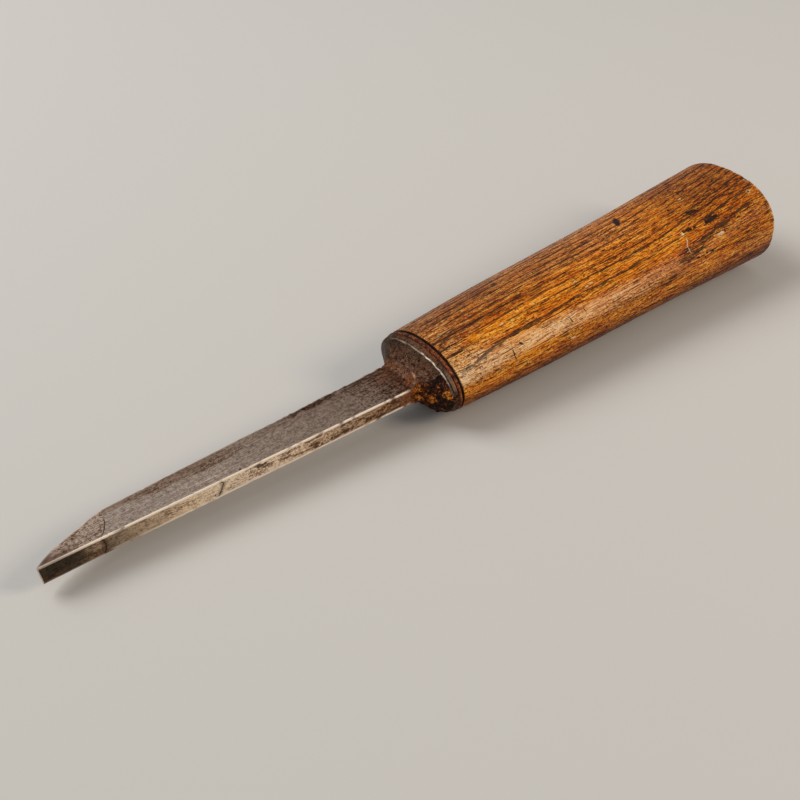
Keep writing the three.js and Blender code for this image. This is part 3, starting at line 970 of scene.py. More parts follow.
        # Pores are matt, and pores, holes and scratches are sunk.
        rough = add("MapRange", {"Value": fibres, "From Min": 0.3, "From Max": 0.7, "To Min": 0.28,
                                 "To Max": 0.4})
        rough = add("Math", (pores, 0.3, rough), operation="MULTIPLY_ADD")
        sunk = add("Math", (masks[MarkKind.HOLE], masks[MarkKind.SCRATCH]), operation="MAXIMUM")
        sunk = add("Math", (pores, sunk), operation="ADD")
        height = add("Math", (fibres, 0.9), operation="MULTIPLY")
        height = add("Math", (height, sunk), operation="SUBTRACT")
        bump = add("Bump", {"Height": height, "Strength": 0.7, "Distance": self.bump_mm * MM})
        shader = add("BsdfPrincipled", {"Base Color": base, "Roughness": rough, "Normal": bump, "IOR": 1.5,
                                        "Specular IOR Level": 0.2})
        add("OutputMaterial", {"Surface": shader})
        return material

    def _marks(self, tree: NodeTree, place: NodeSocket,
               marks: Sequence[tuple[Mark, Vector, float]]) -> NodeSocket | float:
        """Add the nodes that are 1 inside any of the marks.

        Args:
            tree: The material's nodes.
            place: Where the surface is, a little ragged.
            marks: The marks of one kind, each with its place and the way that the surface faces there.

        Returns:
            The mask's socket, or zero where there are no marks.
        """
        total: Any = 0.0
        for mark, centre, facing in marks:
            tilt = Matrix.Rotation(math.radians(facing - 90), 3, "X")
            turn = (tilt @ Matrix.Rotation(math.radians(mark.slant), 3, "Z")).to_euler()
            size = (mark.length / 2, mark.breadth / 2, self.mark_depth)
            inside = add_node(tree, "Mapping", (place, centre, turn, size), vector_type="TEXTURE")
            reach = add_node(tree, "VectorMath", (inside,), out="Value", operation="LENGTH")
            mask = add_node(tree, "MapRange", {"Value": reach, "From Min": 1.15, "From Max": 0.75,
                                               "To Max": mark.strength}, **SMOOTH)
            total = add_node(tree, "Math", (mask, total), operation="MAXIMUM")
        return total


@dataclass(frozen=True)
class PalePaint:
    """Matt emulsion on the floor: pale, plain and without gloss."""

    name: str = "floor_paint_pale_matt"
    colour: str = "#d9d6d1"

    def material(self) -> Material:
        """Build the material.

        Returns:
            The finished material.
        """
        material, tree = blank_material(self.name)
        shader = add_node(tree, "BsdfDiffuse", {"Color": linear(self.colour), "Roughness": 0.4})
        add_node(tree, "OutputMaterial", {"Surface": shader})
        return material


def place_piece(obj: Object, tool: ToolFrame, node: str, material: Material) -> None:
    """Carry a finished mesh into the part's frame, dress it and let it stand for its CAD node.

    Args:
        obj: The object, in the tool's millimetres.
        tool: Where the tool's frame stands.
        node: The CAD node that it replaces.
        material: Its finish.
    """
    obj.data.transform(tool.matrix)
    obj.data.update()
    obj.data.materials.clear()
    obj.data.materials.append(material)
    select_only(obj)
    bpy.ops.object.shade_smooth()
    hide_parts(node)
    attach(obj, "root")


def paint_wear_and_light(obj: Object, wear: dict[WearAndLight, Values]) -> None:
    """Paint where each kind of wear and each painted highlight lies on a piece of iron.

    Args:
        obj: The piece.
        wear: A share from 0 to 1 or a distance in millimetres for each point, by kind. A kind that is left
            out is nowhere on the piece.
    """
    for kind in WearAndLight:
        apart = kind in (WearAndLight.EDGE, WearAndLight.SEAM, WearAndLight.HAIR)
        low, high, nowhere = (-FAR_MM, FAR_MM, FAR_MM) if apart else (0.0, 1.0, 0.0)
        values = wear.get(kind, np.full(len(obj.data.vertices), nowhere))
        paint(obj, kind.value, np.clip(values, low, high))


@dataclass
class ForgingWearAndLight:
    """Where each kind of wear and each painted highlight lies on the forging, worked out for every point of
    its mesh.

    The flat back is at -Y and the upper side at +Z. Numbers beside x, y and z are the places in millimetres
    between which a kind of wear comes or goes.

    Attributes:
        forging: The piece's sizes.
        points: Its points, in the tool's millimetres.
        normals: The way that its surface faces at each point.
        crust_height: How far the crust stands out.
        band_along: Places along the blade where the brown band's limit is given.
        band_depths: Y of that limit.
        ochre_spots: Middles of the ochre spots in the crust.
        dark_spots: X and Y of the dark spots on the narrow sides.
        hair_start: X and Z of the upper end of the crack across the flat back.
        hair_end: X and Z of its lower end.
        lip_turns: Degrees round the bolster from +Y over +Z where the lip's brightness is given.
        lip_shares: That brightness, partly from rubbing and partly a painted highlight.
    """

    forging: "Forging"
    points: Points
    normals: Points
    crust_height: float = 0.45
    band_along: tuple[float, ...] = (-112.0, -108.4, -88.8, -69.6, -64.5, -46.6, -31.9, -20.0)
    band_depths: tuple[float, ...] = (7.4, 6.9, 4.9, 3.4, 4.3, 4.3, 3.7, 3.0)
    ochre_spots: tuple[tuple[float, float, float], ...] = ((-7.0, -8.2, 2.6), (-5.0, -6.8, 1.8),
                                                           (-3.0, -11.2, -1.2), (-1.0, -16.0, 1.8),
                                                           (-5.5, -8.0, -1.5))
    dark_spots: tuple[tuple[float, float], ...] = ((-60.4, 3.5), (-67.5, 0.9), (-69.1, -3.1), (-62.6, 1.9),
                                                   (-27.0, 4.2))
    hair_start: tuple[float, float] = (-75.3, 1.8)
    hair_end: tuple[float, float] = (-77.9, -3.3)
    lip_turns: tuple[float, ...] = (30, 70, 95, 105, 122, 134, 150, 170)
    lip_shares: tuple[float, ...] = (0.0, 0.2, 0.45, 0.9, 0.9, 0.5, 0.35, 0.0)

    def __post_init__(self) -> None:
        """Work out the random fields, and the zones that several kinds of wear share."""
        x, y, z = self.x, self.y, self.z = self.points.T
        self.broad, self.fine = layered(self.points, 9.0, 3), layered(self.points, 1.6, 3, 31.0)
        self.along = layered(self.points, (14.0, 3.0, 3.0), 3, 11.0)

        # The bare blade with its flat back and narrow sides, all that shows, and the rim as seen edge on.
        self.shank = ease(x, -4.0, -9.0)
        self.back_face = self.shank * ease(self.normals[:, 1], -0.6, -0.9)
        self.side = self.shank * ease(np.abs(self.normals[:, 2]), 0.6, 0.9)
        self.shown = ease(x, self.forging.rim_thickness + 1.0, self.forging.rim_thickness)
        self.near_bolster = ease(x, -34.0, -9.0)
        self.rim_side = ease(x, 0.1, 0.35)

        # A painted highlight lies on the rim's side from 118 to 172 degrees round it, where the light
        # catches it.
        self.arris, self.nearer_back = self.forging.blade.from_arris(self.points)
        self.turn = np.degrees(np.arctan2(z / self.forging.rim_height, y / self.forging.rim_width))
        corner = ease(self.turn, 118.0, 142.0) * ease(self.turn, 172.0, 158.0)
        self.rim_highlight = self.rim_side * corner * (0.8 + 0.6 * self.fine)
        self.crescent, self.hollow = self._crescent()
        self.band = self._band()
        self.spots, self.eaten = self._spots()

    def _crescent(self) -> tuple[Values, Values]:
        """A painted highlight in a thin curve on top of the neck, and the dark hollow in front of it.

        Returns:
            A share of each for each point.
        """
        share = (self.y + 3.8) / 2.2
        bow = self.x + 4.6 - 0.37 * share + 0.35 * share ** 2
        lower = 4.0 * ease(self.z, 2.0, 1.0)
        crescent = ease(np.hypot(1.9 * bow, 0.77 * share) + lower, 0.75, 0.3)
        hollow = np.hypot(1.2 * (bow + 0.9), 0.55 * share) + lower
        return crescent, ease(hollow, 1.0, 0.3)

    def _band(self) -> Values:
        """The brown band along the front half of the narrow sides, which is faint near the bolster.

        Returns:
            A share for each point.
        """
        limit = through(self.x, self.band_along, self.band_depths)
        band = self.side * ease(self.y - limit + 1.3 * self.along + 0.5 * self.fine, -0.7, 0.8)
        return band * (1 - 0.7 * ease(self.x, -78.0, -58.0))

    def _spots(self) -> tuple[Values, Values]:
        """The dark spots on the narrow sides, and the front arris where rust has eaten into it.

        Returns:
            A share of each for each point.
        """
        x, y = self.x, self.y
        far_edge = self.side * ease(y, 5.0, 6.8) * ease(x, -48.0, -42.0) * ease(x, -12.0, -16.0)
        spots = far_edge * ease(layered(self.points, (3.2, 1.8, 1.8), 3, 19.0), -0.2, 0.05)
        spots = np.maximum(spots, 0.7 * self.side * blots(self.points, self.dark_spots, 0.9))
        eaten = self.shank * ease(x, -62.0, -48.0) * ease(self.forging.blade.front(x) - y, 2.6, 0.6)
        return spots, eaten * ease(self.fine + self.along, -0.6, 0.5)

    def rust(self) -> Values:
        """Rust: thin near the bolster, thick on the neck and the rim, and one red spot by the crescent.

        Returns:
            A share for each point.
        """
        x = self.x
        rust = self.near_bolster * (0.2 + 0.3 * self.broad) * (1 - 0.7 * self.back_face)
        rust = rust + self.back_face * ease(x, -19.0, -8.0) * 0.6
        neck = ease(x, -12.5, -9.5) * ease(x, -2.5, -5.0)
        rust = np.maximum(rust, neck * (0.36 + 0.3 * self.fine + 0.12 * self.broad))
        from_red = np.linalg.norm((self.points - (-5.6, -3.2, 3.2)) / (1.5, 1.8, 1.2), axis=1)
        rust = np.maximum(rust * ease(x, -1.5, -6.0), 0.8 * ease(from_red, 1.3, 0.5))
        rust = np.maximum(rust, self.rim_side * (0.4 + 0.3 * self.fine))
        return rust * (1 - self.rim_highlight) * (1 - self.crescent)

    def pits(self) -> Values:
        """Pits: few on the narrow sides, more in the band, most on the back and near the bolster.

        Returns:
            A share for each point.
        """
        x = self.x
        pits = self.shank * (0.1 + 0.26 * self.band * ease(self.along, -0.6, 0.4) + 0.5 * self.near_bolster)
        pits = np.maximum(pits, 0.8 * np.maximum(self.spots, 0.6 * self.eaten))
        clear = np.maximum(ease(self.z, -2.6, -0.8), ease(x, -38.0, -28.0))
        specked = 0.26 + 0.54 * ease(x, -76.0, -66.0) * clear * (0.75 + 0.6 * self.broad) + 0.35 * self.along
        pits = np.where(self.back_face > 0.5, specked, pits)
        pits = np.maximum(pits, (0.55 + 0.2 * self.fine) * ease(x, -12.0, -8.5))
        pits = np.maximum(pits * (1 - np.clip(self.rim_highlight, 0, 0.9)), 0.95 * self.hollow)
        return pits * (1 - self.crescent) * self.shown

    def crust(self) -> Values:
        """The crust at the back of the bolster, which is thickest underneath.

        Returns:
            A share for each point.
        """
        under = 1.0 + (-5.0 - self.y) * 0.75 - self.z
        zone = ease(under, -2.0, 2.0) * ease(self.y, -3.5, -7.0)
        zone = zone * ease(self.x, -9.5, -6.0) * ease(self.x, 0.1, -0.5)
        return ease(zone + 0.45 * self.fine, 0.15, 0.5) * ease(zone, 0.02, 0.2)

    def ochre(self) -> Values:
        """The ochre in the crust: a few spots, and a little of it all over towards the blade."""
        near = [ease(np.linalg.norm(self.points - spot, axis=1), 2.6, 0.4) for spot in self.ochre_spots]
        return np.maximum(np.max(near, axis=0), 0.4 * ease(self.x, -3.5, -6.0))

    def dark(self) -> Values:
        """The darker patina of the rim, of eaten and spotted places and of the bolster's face.

        Returns:
            A share for each point.
        """
        dark = self.rim_side * (0.6 + 0.3 * self.fine) * (1 - self.rim_highlight)
        dark = np.maximum(dark, np.maximum(0.4 * self.eaten, 0.75 * self.spots))
        face = ease(self.x, -10.5, -7.5) * ease(self.x, 0.35, 0.1)
        face = face * (0.45 + 0.3 * ease(self.y, 2.0, 12.0) + 0.6 * self.fine)
        return np.maximum(dark, face) * (1 - self.crescent)

    def pale(self) -> Values:
        """Paler metal: a polished streak, the back's lower edge and the lip, and painted highlights on the
        rim's side and on top of the neck.

        Returns:
            A share for each point.
        """
        x, y = self.x, self.y
        streak = np.abs(y - 0.9 + 0.156 * (x + 86.9)) / 0.7 + np.maximum(np.abs(x + 79.0) - 7.0, 0.0) / 5.0
        lower = self.back_face * ease(self.z, -2.0, -2.4) * ease(x, -96.0, -80.0) * ease(x, -7.0, -11.0)
        middle = self.back_face * ease(x, -98.0, -88.0) * ease(x, -34.0, -46.0)
        lip = ease(x, -3.6, -2.0) * ease(x, 0.1, -0.1) * ease(y, 9.0, 3.0) * ease(self.fine, -0.1, 0.5)
        return np.maximum.reduce([0.25 * self.side * ease(streak, 1.3, 0.3),
                                  0.6 * lower * ease(self.fine, -0.5, 0.1), 0.2 * middle, self.rim_highlight,
                                  0.55 * self.crescent, 0.4 * lip])

    def rubbed_and_lit(self) -> Values:
        """How bright the edges are, from rubbing and from a painted highlight: the blade's, mostly at its
        back and less on its lower side, and the bolster's lip, whose brightness is given round the rim.

        Returns:
            A share for each point.
        """
        lip = np.interp(self.turn, self.lip_turns, self.lip_shares)
        lip = lip * (0.85 + 1.2 * roughly(self.points, 1.3, 6.0))
        uneven = ease(roughly(self.points, (3.0, 4.0, 4.0), 5.0), -0.6, -0.2)
        blade = self.shank * np.where(self.nearer_back, 1.0, 0.3) * ease(self.x, -8.0, -11.5) * uneven
        blade = blade * np.where(self.z < 0, np.interp(self.x, (-112, -84), (0.35, 1.0)), 1.0)
        return np.where(self.x < -3.0, blade, lip)

    def edge(self) -> Values:
        """Distance from an edge that may shine from rubbing and a painted highlight, counted so that each
        line comes out at its own width.

        Returns:
            Millimetres for each point.
        """
        radial = np.hypot(self.y / (self.forging.rim_width / 2), self.z / (self.forging.rim_height / 2))
        lip = 4.2 * np.abs(self.x + 0.26 + 0.2 * roughly(self.points, 2.2, 12.0))
        lip = lip + 4.0 * ease(radial, 0.92, 0.85)
        return np.where(self.x < -5.0, self.arris * np.where(self.z < 0, 0.6, 1.0), lip)

    def hair(self) -> Values:
        """Distance from the crack across the flat back, with a sign beside it.

        The mesh is coarser than the crack, so a plain distance would never come near zero. The sign lets it
        pass through zero between two points, and it goes where the crack ends.

        Returns:
            Millimetres for each point.
        """
        ends = np.array((self.hair_end, self.hair_start))
        hair = self.x - np.interp(self.z, ends[:, 1], ends[:, 0])
        beyond = np.maximum(self.z - self.hair_start[1], 0.0) + FAR_MM * (1 - self.back_face)
        return np.where(beyond < 1.0, hair, np.abs(hair)) + beyond

    def depth(self, pits: Values) -> Values:
        """How far waves, pits, nicks and rust have taken the surface down.

        Args:
            pits: The share of pits.

        Returns:
            Millimetres for each point.
        """
        low = 0.03 + 0.03 * self.broad + 0.02 * self.fine
        pitted = 0.25 * pits * np.clip(roughly(self.points, 0.9, 77.0) - 0.15, 0, None)
        nicks = np.clip(roughly(self.points, (1.6, 6.0, 6.0), 15.0) - 0.4, 0, None)
        nicked = 0.8 * ease(self.arris, 0.9, 0.2) * self.shank * nicks
        return np.clip(low + pitted + nicked + 0.25 * self.eaten, 0.0, 0.5) * self.shown

    def rise(self, crust: Values) -> Values:
        """How far the lumps of the crust stand out."""
        lumps = 0.35 + 1.2 * layered(self.points, 2.2, 4, 3.0)
        return np.clip(crust * self.crust_height * lumps, 0, None)


@dataclass
class Forging:
    """The iron of the chisel in one piece: blade, flared bolster and hidden tang."""

    blade: Blade = field(default_factory=Blade)
    blade_steps: int = 50
    end_shares: tuple[float, ...] = (0.0004, 0.0016, 0.006)
    flare_length: float = 6.8
    flare_steps: int = 9
    swell_power: float = 1.35
    rim_width: float = 37.4
    rim_height: float = 21.1
    rim_thickness: float = 1.5
    rim_back_width: float = 37.6
    rim_back_height: float = 22.8
    rim_ease: float = 0.18
    rim_inner_share: float = 0.8
    neck_oval: float = 9.0
    tang_oval: float = 12.0
    tang_length: float = 82.0
    tang_root: tuple[float, float] = (9.5, 5.6)
    tang_end: tuple[float, float] = (4.0, 3.4)
    tang_point: tuple[float, float] = (1.2, 1.2)
    tang_point_length: float = 4.0
    tang_steps: int = 6
    seam_gap: float = 0.01
    seam_guess: float = 22.0
    seam_rounds: int = 3

    def _blade_rings(self, square: Points) -> list[Points]:
        """Sections from the weld seam to the neck.

        The seam is curved, so the places on it start as a guess and are worked out again a few times.

        Args:
            square: The ring's points on the unit square.

        Returns:
            The sections in order.
        """
        neck = -self.flare_length
        rings = []
        even = np.linspace(0.0, 1.0, self.blade_steps + 1)
        for share in np.sort(np.append(even, self.end_shares)):
            ring = self.blade.section(np.full(len(square), self.seam_guess - self.blade.length), square)
            for _ in range(self.seam_rounds):
                start = self.blade.seam(ring[:, 1], ring[:, 2]) + self.seam_gap
                ring = self.blade.section(start + (neck - start) * share, square)
            rings.append(ring)
        return rings

    def _oval(self, x: float, width: float, height: float, square: Points, roundness: float,
              centre: float = 0.0) -> Points:
        """A section between an oval and a rounded rectangle."""
        flat = superellipse(square, roundness) * (width / 2, height / 2)
        return np.stack([np.full(len(flat), x), centre + flat[:, 0], flat[:, 1]], axis=1)

    def _bolster_rings(self, square: Points) -> list[Points]:
        """Sections of the flare, the rim and the flat behind it.

        Args:
            square: The ring's points on the unit square.

        Returns:
            The sections in order.
        """
        bar = self.blade
        depth = bar.front_at_bolster + bar.back_at_bolster
        middle = (bar.front_at_bolster - bar.back_at_bolster) / 2
        rings = []
        for step in range(1, self.flare_steps + 1):
            share = step / self.flare_steps * (1 - self.rim_ease / self.flare_length)
            swell = share ** self.swell_power
            width = depth + (self.rim_width - depth) * swell
            height = bar.width_at_bolster + (self.rim_height - bar.width_at_bolster) * swell
            oval = self._oval(self.flare_length * (share - 1), width, height, square,
                              2 + (self.neck_oval - 2) * (1 - share) ** 2, middle * (1 - share))
            plain = bar.section(oval[:, 0], square)
            plain[:, 1] = plain[:, 1] * oval[:, 1].max() / plain[:, 1].max()
            plain[:, 2] = plain[:, 2] * oval[:, 2].max() / plain[:, 2].max()
            rounded = float(ease(np.array(share), 0.0, 0.3))
            rings.append(plain * (1 - rounded) + oval * rounded)
        lip, thick = self.rim_ease, self.rim_thickness
        for x, inset in ((lip * 0.4, 2 * bar.skin), (lip * 2, bar.skin), (thick / 2, bar.skin),
                         (thick - lip, bar.skin), (thick, lip)):
            width = self.rim_width + (self.rim_back_width - self.rim_width) * x / thick
            height = self.rim_height + (self.rim_back_height - self.rim_height) * x / thick
            rings.append(self._oval(x, width - 2 * inset, height - 2 * inset, square, 2.0))
        width = self.rim_back_width * self.rim_inner_share
        height = self.rim_back_height * self.rim_inner_share
        rings.append(self._oval(thick, width, height, square, 2.0))
        return rings

    def _tang_rings(self, square: Points) -> list[Points]:
        """Sections of the tang to its point.

        Args:
            square: The ring's points on the unit square.

        Returns:
            The sections in order.
        """
        root, end = self.rim_thickness, self.rim_thickness + self.tang_length
        shoulder = end - self.tang_point_length
        rings = [self._oval(root, *self.tang_root, square, self.tang_oval)]
        for step in range(1, self.tang_steps + 1):
            share = step / self.tang_steps
            width = self.tang_root[0] + (self.tang_end[0] - self.tang_root[0]) * share
            height = self.tang_root[1] + (self.tang_end[1] - self.tang_root[1]) * share
            rings.append(self._oval(root + (shoulder - root) * share, width, height, square, self.tang_oval))
        rings.append(self._oval(end, *self.tang_point, square, self.tang_oval))
        return rings

    def mesh(self) -> Object:
        """Model the forging.

        Returns:
            The object, in the tool's millimetres.
        """
        square = self.blade.square()
        rings = self._blade_rings(square) + self._bolster_rings(square) + self._tang_rings(square)
        obj = Loft("iron_blade", self.blade.cap(rings[0], self.seam_gap)).extrude_to(rings).finish()
        self._wear_and_light(obj)
        return obj

    def _wear_and_light(self, obj: Object) -> None:
        """Press in pits and nicks, raise the crust and paint where each kind of wear and painted highlight
        lies.

        Args:
            obj: The forging.
        """
        points, normals = read_mesh(obj)
        wear = ForgingWearAndLight(self, points, normals)
        pits, crust = wear.pits(), wear.crust()
        write_points(obj, points + normals * (wear.rise(crust) - wear.depth(pits))[:, None])
        paint_wear_and_light(obj, {WearAndLight.BACK: wear.back_face, WearAndLight.BAND: wear.band, WearAndLight.RUST: wear.rust(),
                         WearAndLight.CRUST: crust, WearAndLight.OCHRE: wear.ochre(), WearAndLight.PITS: pits,
                         WearAndLight.DARK: wear.dark(), WearAndLight.PALE: wear.pale(), WearAndLight.RUBBED_AND_LIT: wear.rubbed_and_lit(),
                         WearAndLight.EDGE: wear.edge(), WearAndLight.SEAM: self.blade.from_seam(points, 1),
                         WearAndLight.HAIR: wear.hair()})

    def dress(self, obj: Object, tool: ToolFrame, iron: OldIron) -> None:
        """Give the forging its finish and its place."""
        place_piece(obj, tool, "iron_blade", iron.material(tool))


@dataclass
class SteelTip:
    """The cutting end of harder steel, welded to the iron at a seam that shows as a hairline."""

    blade: Blade = field(default_factory=Blade)
    steps: int = 26
    end_shares: tuple[float, ...] = (0.002, 0.01, 0.97, 0.992, 0.998)
    seam_gap: float = 0.01
    seam_guess: float = 20.0
    seam_rounds: int = 4

    def mesh(self) -> Object:
        """Model the tip from the cutting edge back to the seam.

        Returns:
            The object, in the tool's millimetres.
        """
        square = self.blade.square()
        rings = []
        for share in np.sort(np.append(np.linspace(0.0, 1.0, self.steps + 1), self.end_shares)):
            guess = self.seam_guess * share - self.blade.length
            ring = self.blade.section(np.full(len(square), guess), square)
            for _ in range(self.seam_rounds):
                start = self.blade.edge(ring[:, 2])
                end = self.blade.seam(ring[:, 1], ring[:, 2]) - self.seam_gap
                ring = self.blade.section(start + (end - start) * share, square)
            rings.append(ring)
        cap = self.blade.cap(rings[-1], -self.seam_gap)
        obj = Loft("steel_tip", rings[0]).extrude_to(rings[1:] + [cap]).finish()
        self._wear_and_light(obj)
        return obj

    def _wear_and_light(self, obj: Object) -> None:
        """Press in fine pits and paint where each kind of wear lies, with the painted highlight on the
        edges.

        Args:
            obj: The tip.
        """
        points, normals = read_mesh(obj)
        x, y, z = points.T
        bar = self.blade
        from_tip = x + bar.length
        back_face = ease(normals[:, 1], -0.6, -0.9)
        side = ease(np.abs(normals[:, 2]), 0.6, 0.9)
        along, fine = layered(points, (8.0, 3.0, 3.0), 3, 23.0), layered(points, 1.2, 3, 41.0)

        # Rust lies along the back's lower edge, and pits keep clear of the honed end.
        low_rust = 0.66 * ease(z, -0.6, -2.0) * ease(along, -0.5, 0.2)
        rust = back_face * (low_rust + 0.3 * ease(from_tip, 10.0, 16.0))
        pits = (1 - back_face) * (0.34 + 0.38 * along) * ease(from_tip, 4.0, 10.0) + back_face * 0.4

        # The narrow sides are darker near the edge and along the back. The back has a bright streak below
        # its middle and a pale patch in front of the weld.
        facet = ease(y - bar.back(x), 0.5 + 0.30 * from_tip, 0.2 + 0.18 * from_tip)
        facet = facet * ease(from_tip, 14.0, 6.0)
        grey = side * np.maximum(facet, ease(from_tip, 7.0, 3.5))
        streak = np.abs(z + 1.9 + 0.3 * along) / 0.8 + np.maximum(np.abs(from_tip - 11.0) - 5.0, 0.0) / 2.0
        patch = np.hypot((from_tip - 16.5) / 3.2, (z - 0.9) / 1.6)
        pale = np.maximum(0.75 * ease(streak, 1.2, 0.4), 0.9 * ease(patch + 0.4 * fine, 1.2, 0.5))
        pale = np.maximum(back_face * pale, 0.15 * side)

        # The cutting edge and the arrises are rubbed, the back's upper one most, and a painted highlight
        # lies along them, fainter on the lower ones.
        arris, nearer_back = bar.from_arris(points)
        cutting = 1.8 * np.abs(x - bar.edge(z))
        rubbed_and_lit = np.where(nearer_back, 1.0, 0.5) * np.interp(from_tip, (6, 18), (0.45, 1.0))
        rubbed_and_lit = np.where(cutting < arris, 0.6, rubbed_and_lit * np.where(z < 0, 0.35, 1.0))

        depth = np.clip(0.02 + 0.02 * fine + 0.05 * pits * np.clip(fine, 0, 1), 0, 0.15)
        write_points(obj, points - normals * (depth * ease(from_tip, 0.0, 2.0))[:, None])
        paint_wear_and_light(obj, {WearAndLight.BACK: back_face, WearAndLight.BAND: 0.4 * side, WearAndLight.RUST: rust, WearAndLight.PITS: pits,
                         WearAndLight.DARK: 0.75 * grey, WearAndLight.PALE: pale, WearAndLight.RUBBED_AND_LIT: rubbed_and_lit,
                         WearAndLight.EDGE: np.minimum(arris, cutting), WearAndLight.SEAM: bar.from_seam(points, -1)})

    def dress(self, obj: Object, tool: ToolFrame, steel: OldIron) -> None:
        """Give the tip its finish and its place."""
        place_piece(obj, tool, "steel_tip", steel.material(tool))


@dataclass
class Washer:
    """The leather ring between the bolster and the wood."""

    front: float = 1.6
    back: float = 3.1
    width: float = 37.8
    height: float = 23.6
    hole: tuple[float, float] = (10.1, 6.2)
    hole_oval: float = 8.0
    section_oval: float = 7.0
    sides: int = 96
    profile_steps: int = 16

    def mesh(self) -> Object:
        """Model the washer from a torus, whose every round becomes the washer's flat section.

        Returns:
            The object, in the tool's millimetres.
        """
        bpy.ops.object.select_all(action="DESELECT")
        middle = 2.0
        bpy.ops.mesh.primitive_torus_add(major_segments=self.sides, minor_segments=self.profile_steps,
                                         major_radius=middle, minor_radius=1.0)
        obj = bpy.context.active_object
        obj.name = obj.data.name = "leather_washer"
        points, _ = read_mesh(obj)
        turn = np.arctan2(points[:, 1], points[:, 0])
        ring = np.hypot(points[:, 0], points[:, 1]) - middle
        section = superellipse(np.stack([ring, points[:, 2]], axis=1), self.section_oval)
        direction = np.stack([np.cos(turn), np.sin(turn)], axis=1)
        outer = direction * (self.width / 2, self.height / 2)
        inner = superellipse(direction, self.hole_oval) * (self.hole[0] / 2, self.hole[1] / 2)
        reach = (section[:, :1] + 1) / 2
        flat = inner + (outer - inner) * reach
        x = (self.front + self.back) / 2 + section[:, 1] * (self.back - self.front) / 2
        write_points(obj, np.stack([x, flat[:, 0], flat[:, 1]], axis=1))
        bpy.ops.object.mode_set(mode="EDIT")
        bpy.ops.mesh.select_all(action="SELECT")
        bpy.ops.mesh.normals_make_consistent(inside=False)
        bpy.ops.object.mode_set(mode="OBJECT")
        subdivide(obj)
        self._wear_and_light(obj)
        return obj

    def _wear_and_light(self, obj: Object) -> None:
        """Fray the edge, press it in unevenly and paint its painted highlight and shade.

        Args:
            obj: The washer.
        """
        points, normals = read_mesh(obj)
        rim = np.hypot(points[:, 1] / self.width * 2, points[:, 2] / self.height * 2)
        frayed = ease(rim, 0.93, 1.0) * (0.14 + 0.1 * layered(points, 2.2, 3) + 0.05 * roughly(points, 0.5))
        write_points(obj, points - normals * np.clip(frayed, 0, 0.4)[:, None])
        # Its tone is painted by the turn round it: a painted highlight on the near upper side, from 145 to
        # 160 degrees, and painted shade away from there, darkest on the far top and underneath.
        turn = np.degrees(np.arctan2(points[:, 2], points[:, 1]))
        rubbed_and_lit = np.interp(turn % 360.0, (60, 100, 145, 160, 178, 200), (0.1, 0.4, 1.0, 1.0, 0.45, 0.1))
        paint(obj, "rubbed_and_lit", np.clip(rubbed_and_lit + 0.3 * layered(points, 3.0, 2, 5.0), 0, 1))

    def dress(self, obj: Object, tool: ToolFrame, leather: WasherLeather) -> None:
        """Give the washer its finish and its place."""
        place_piece(obj, tool, "leather_washer", leather.material(tool))


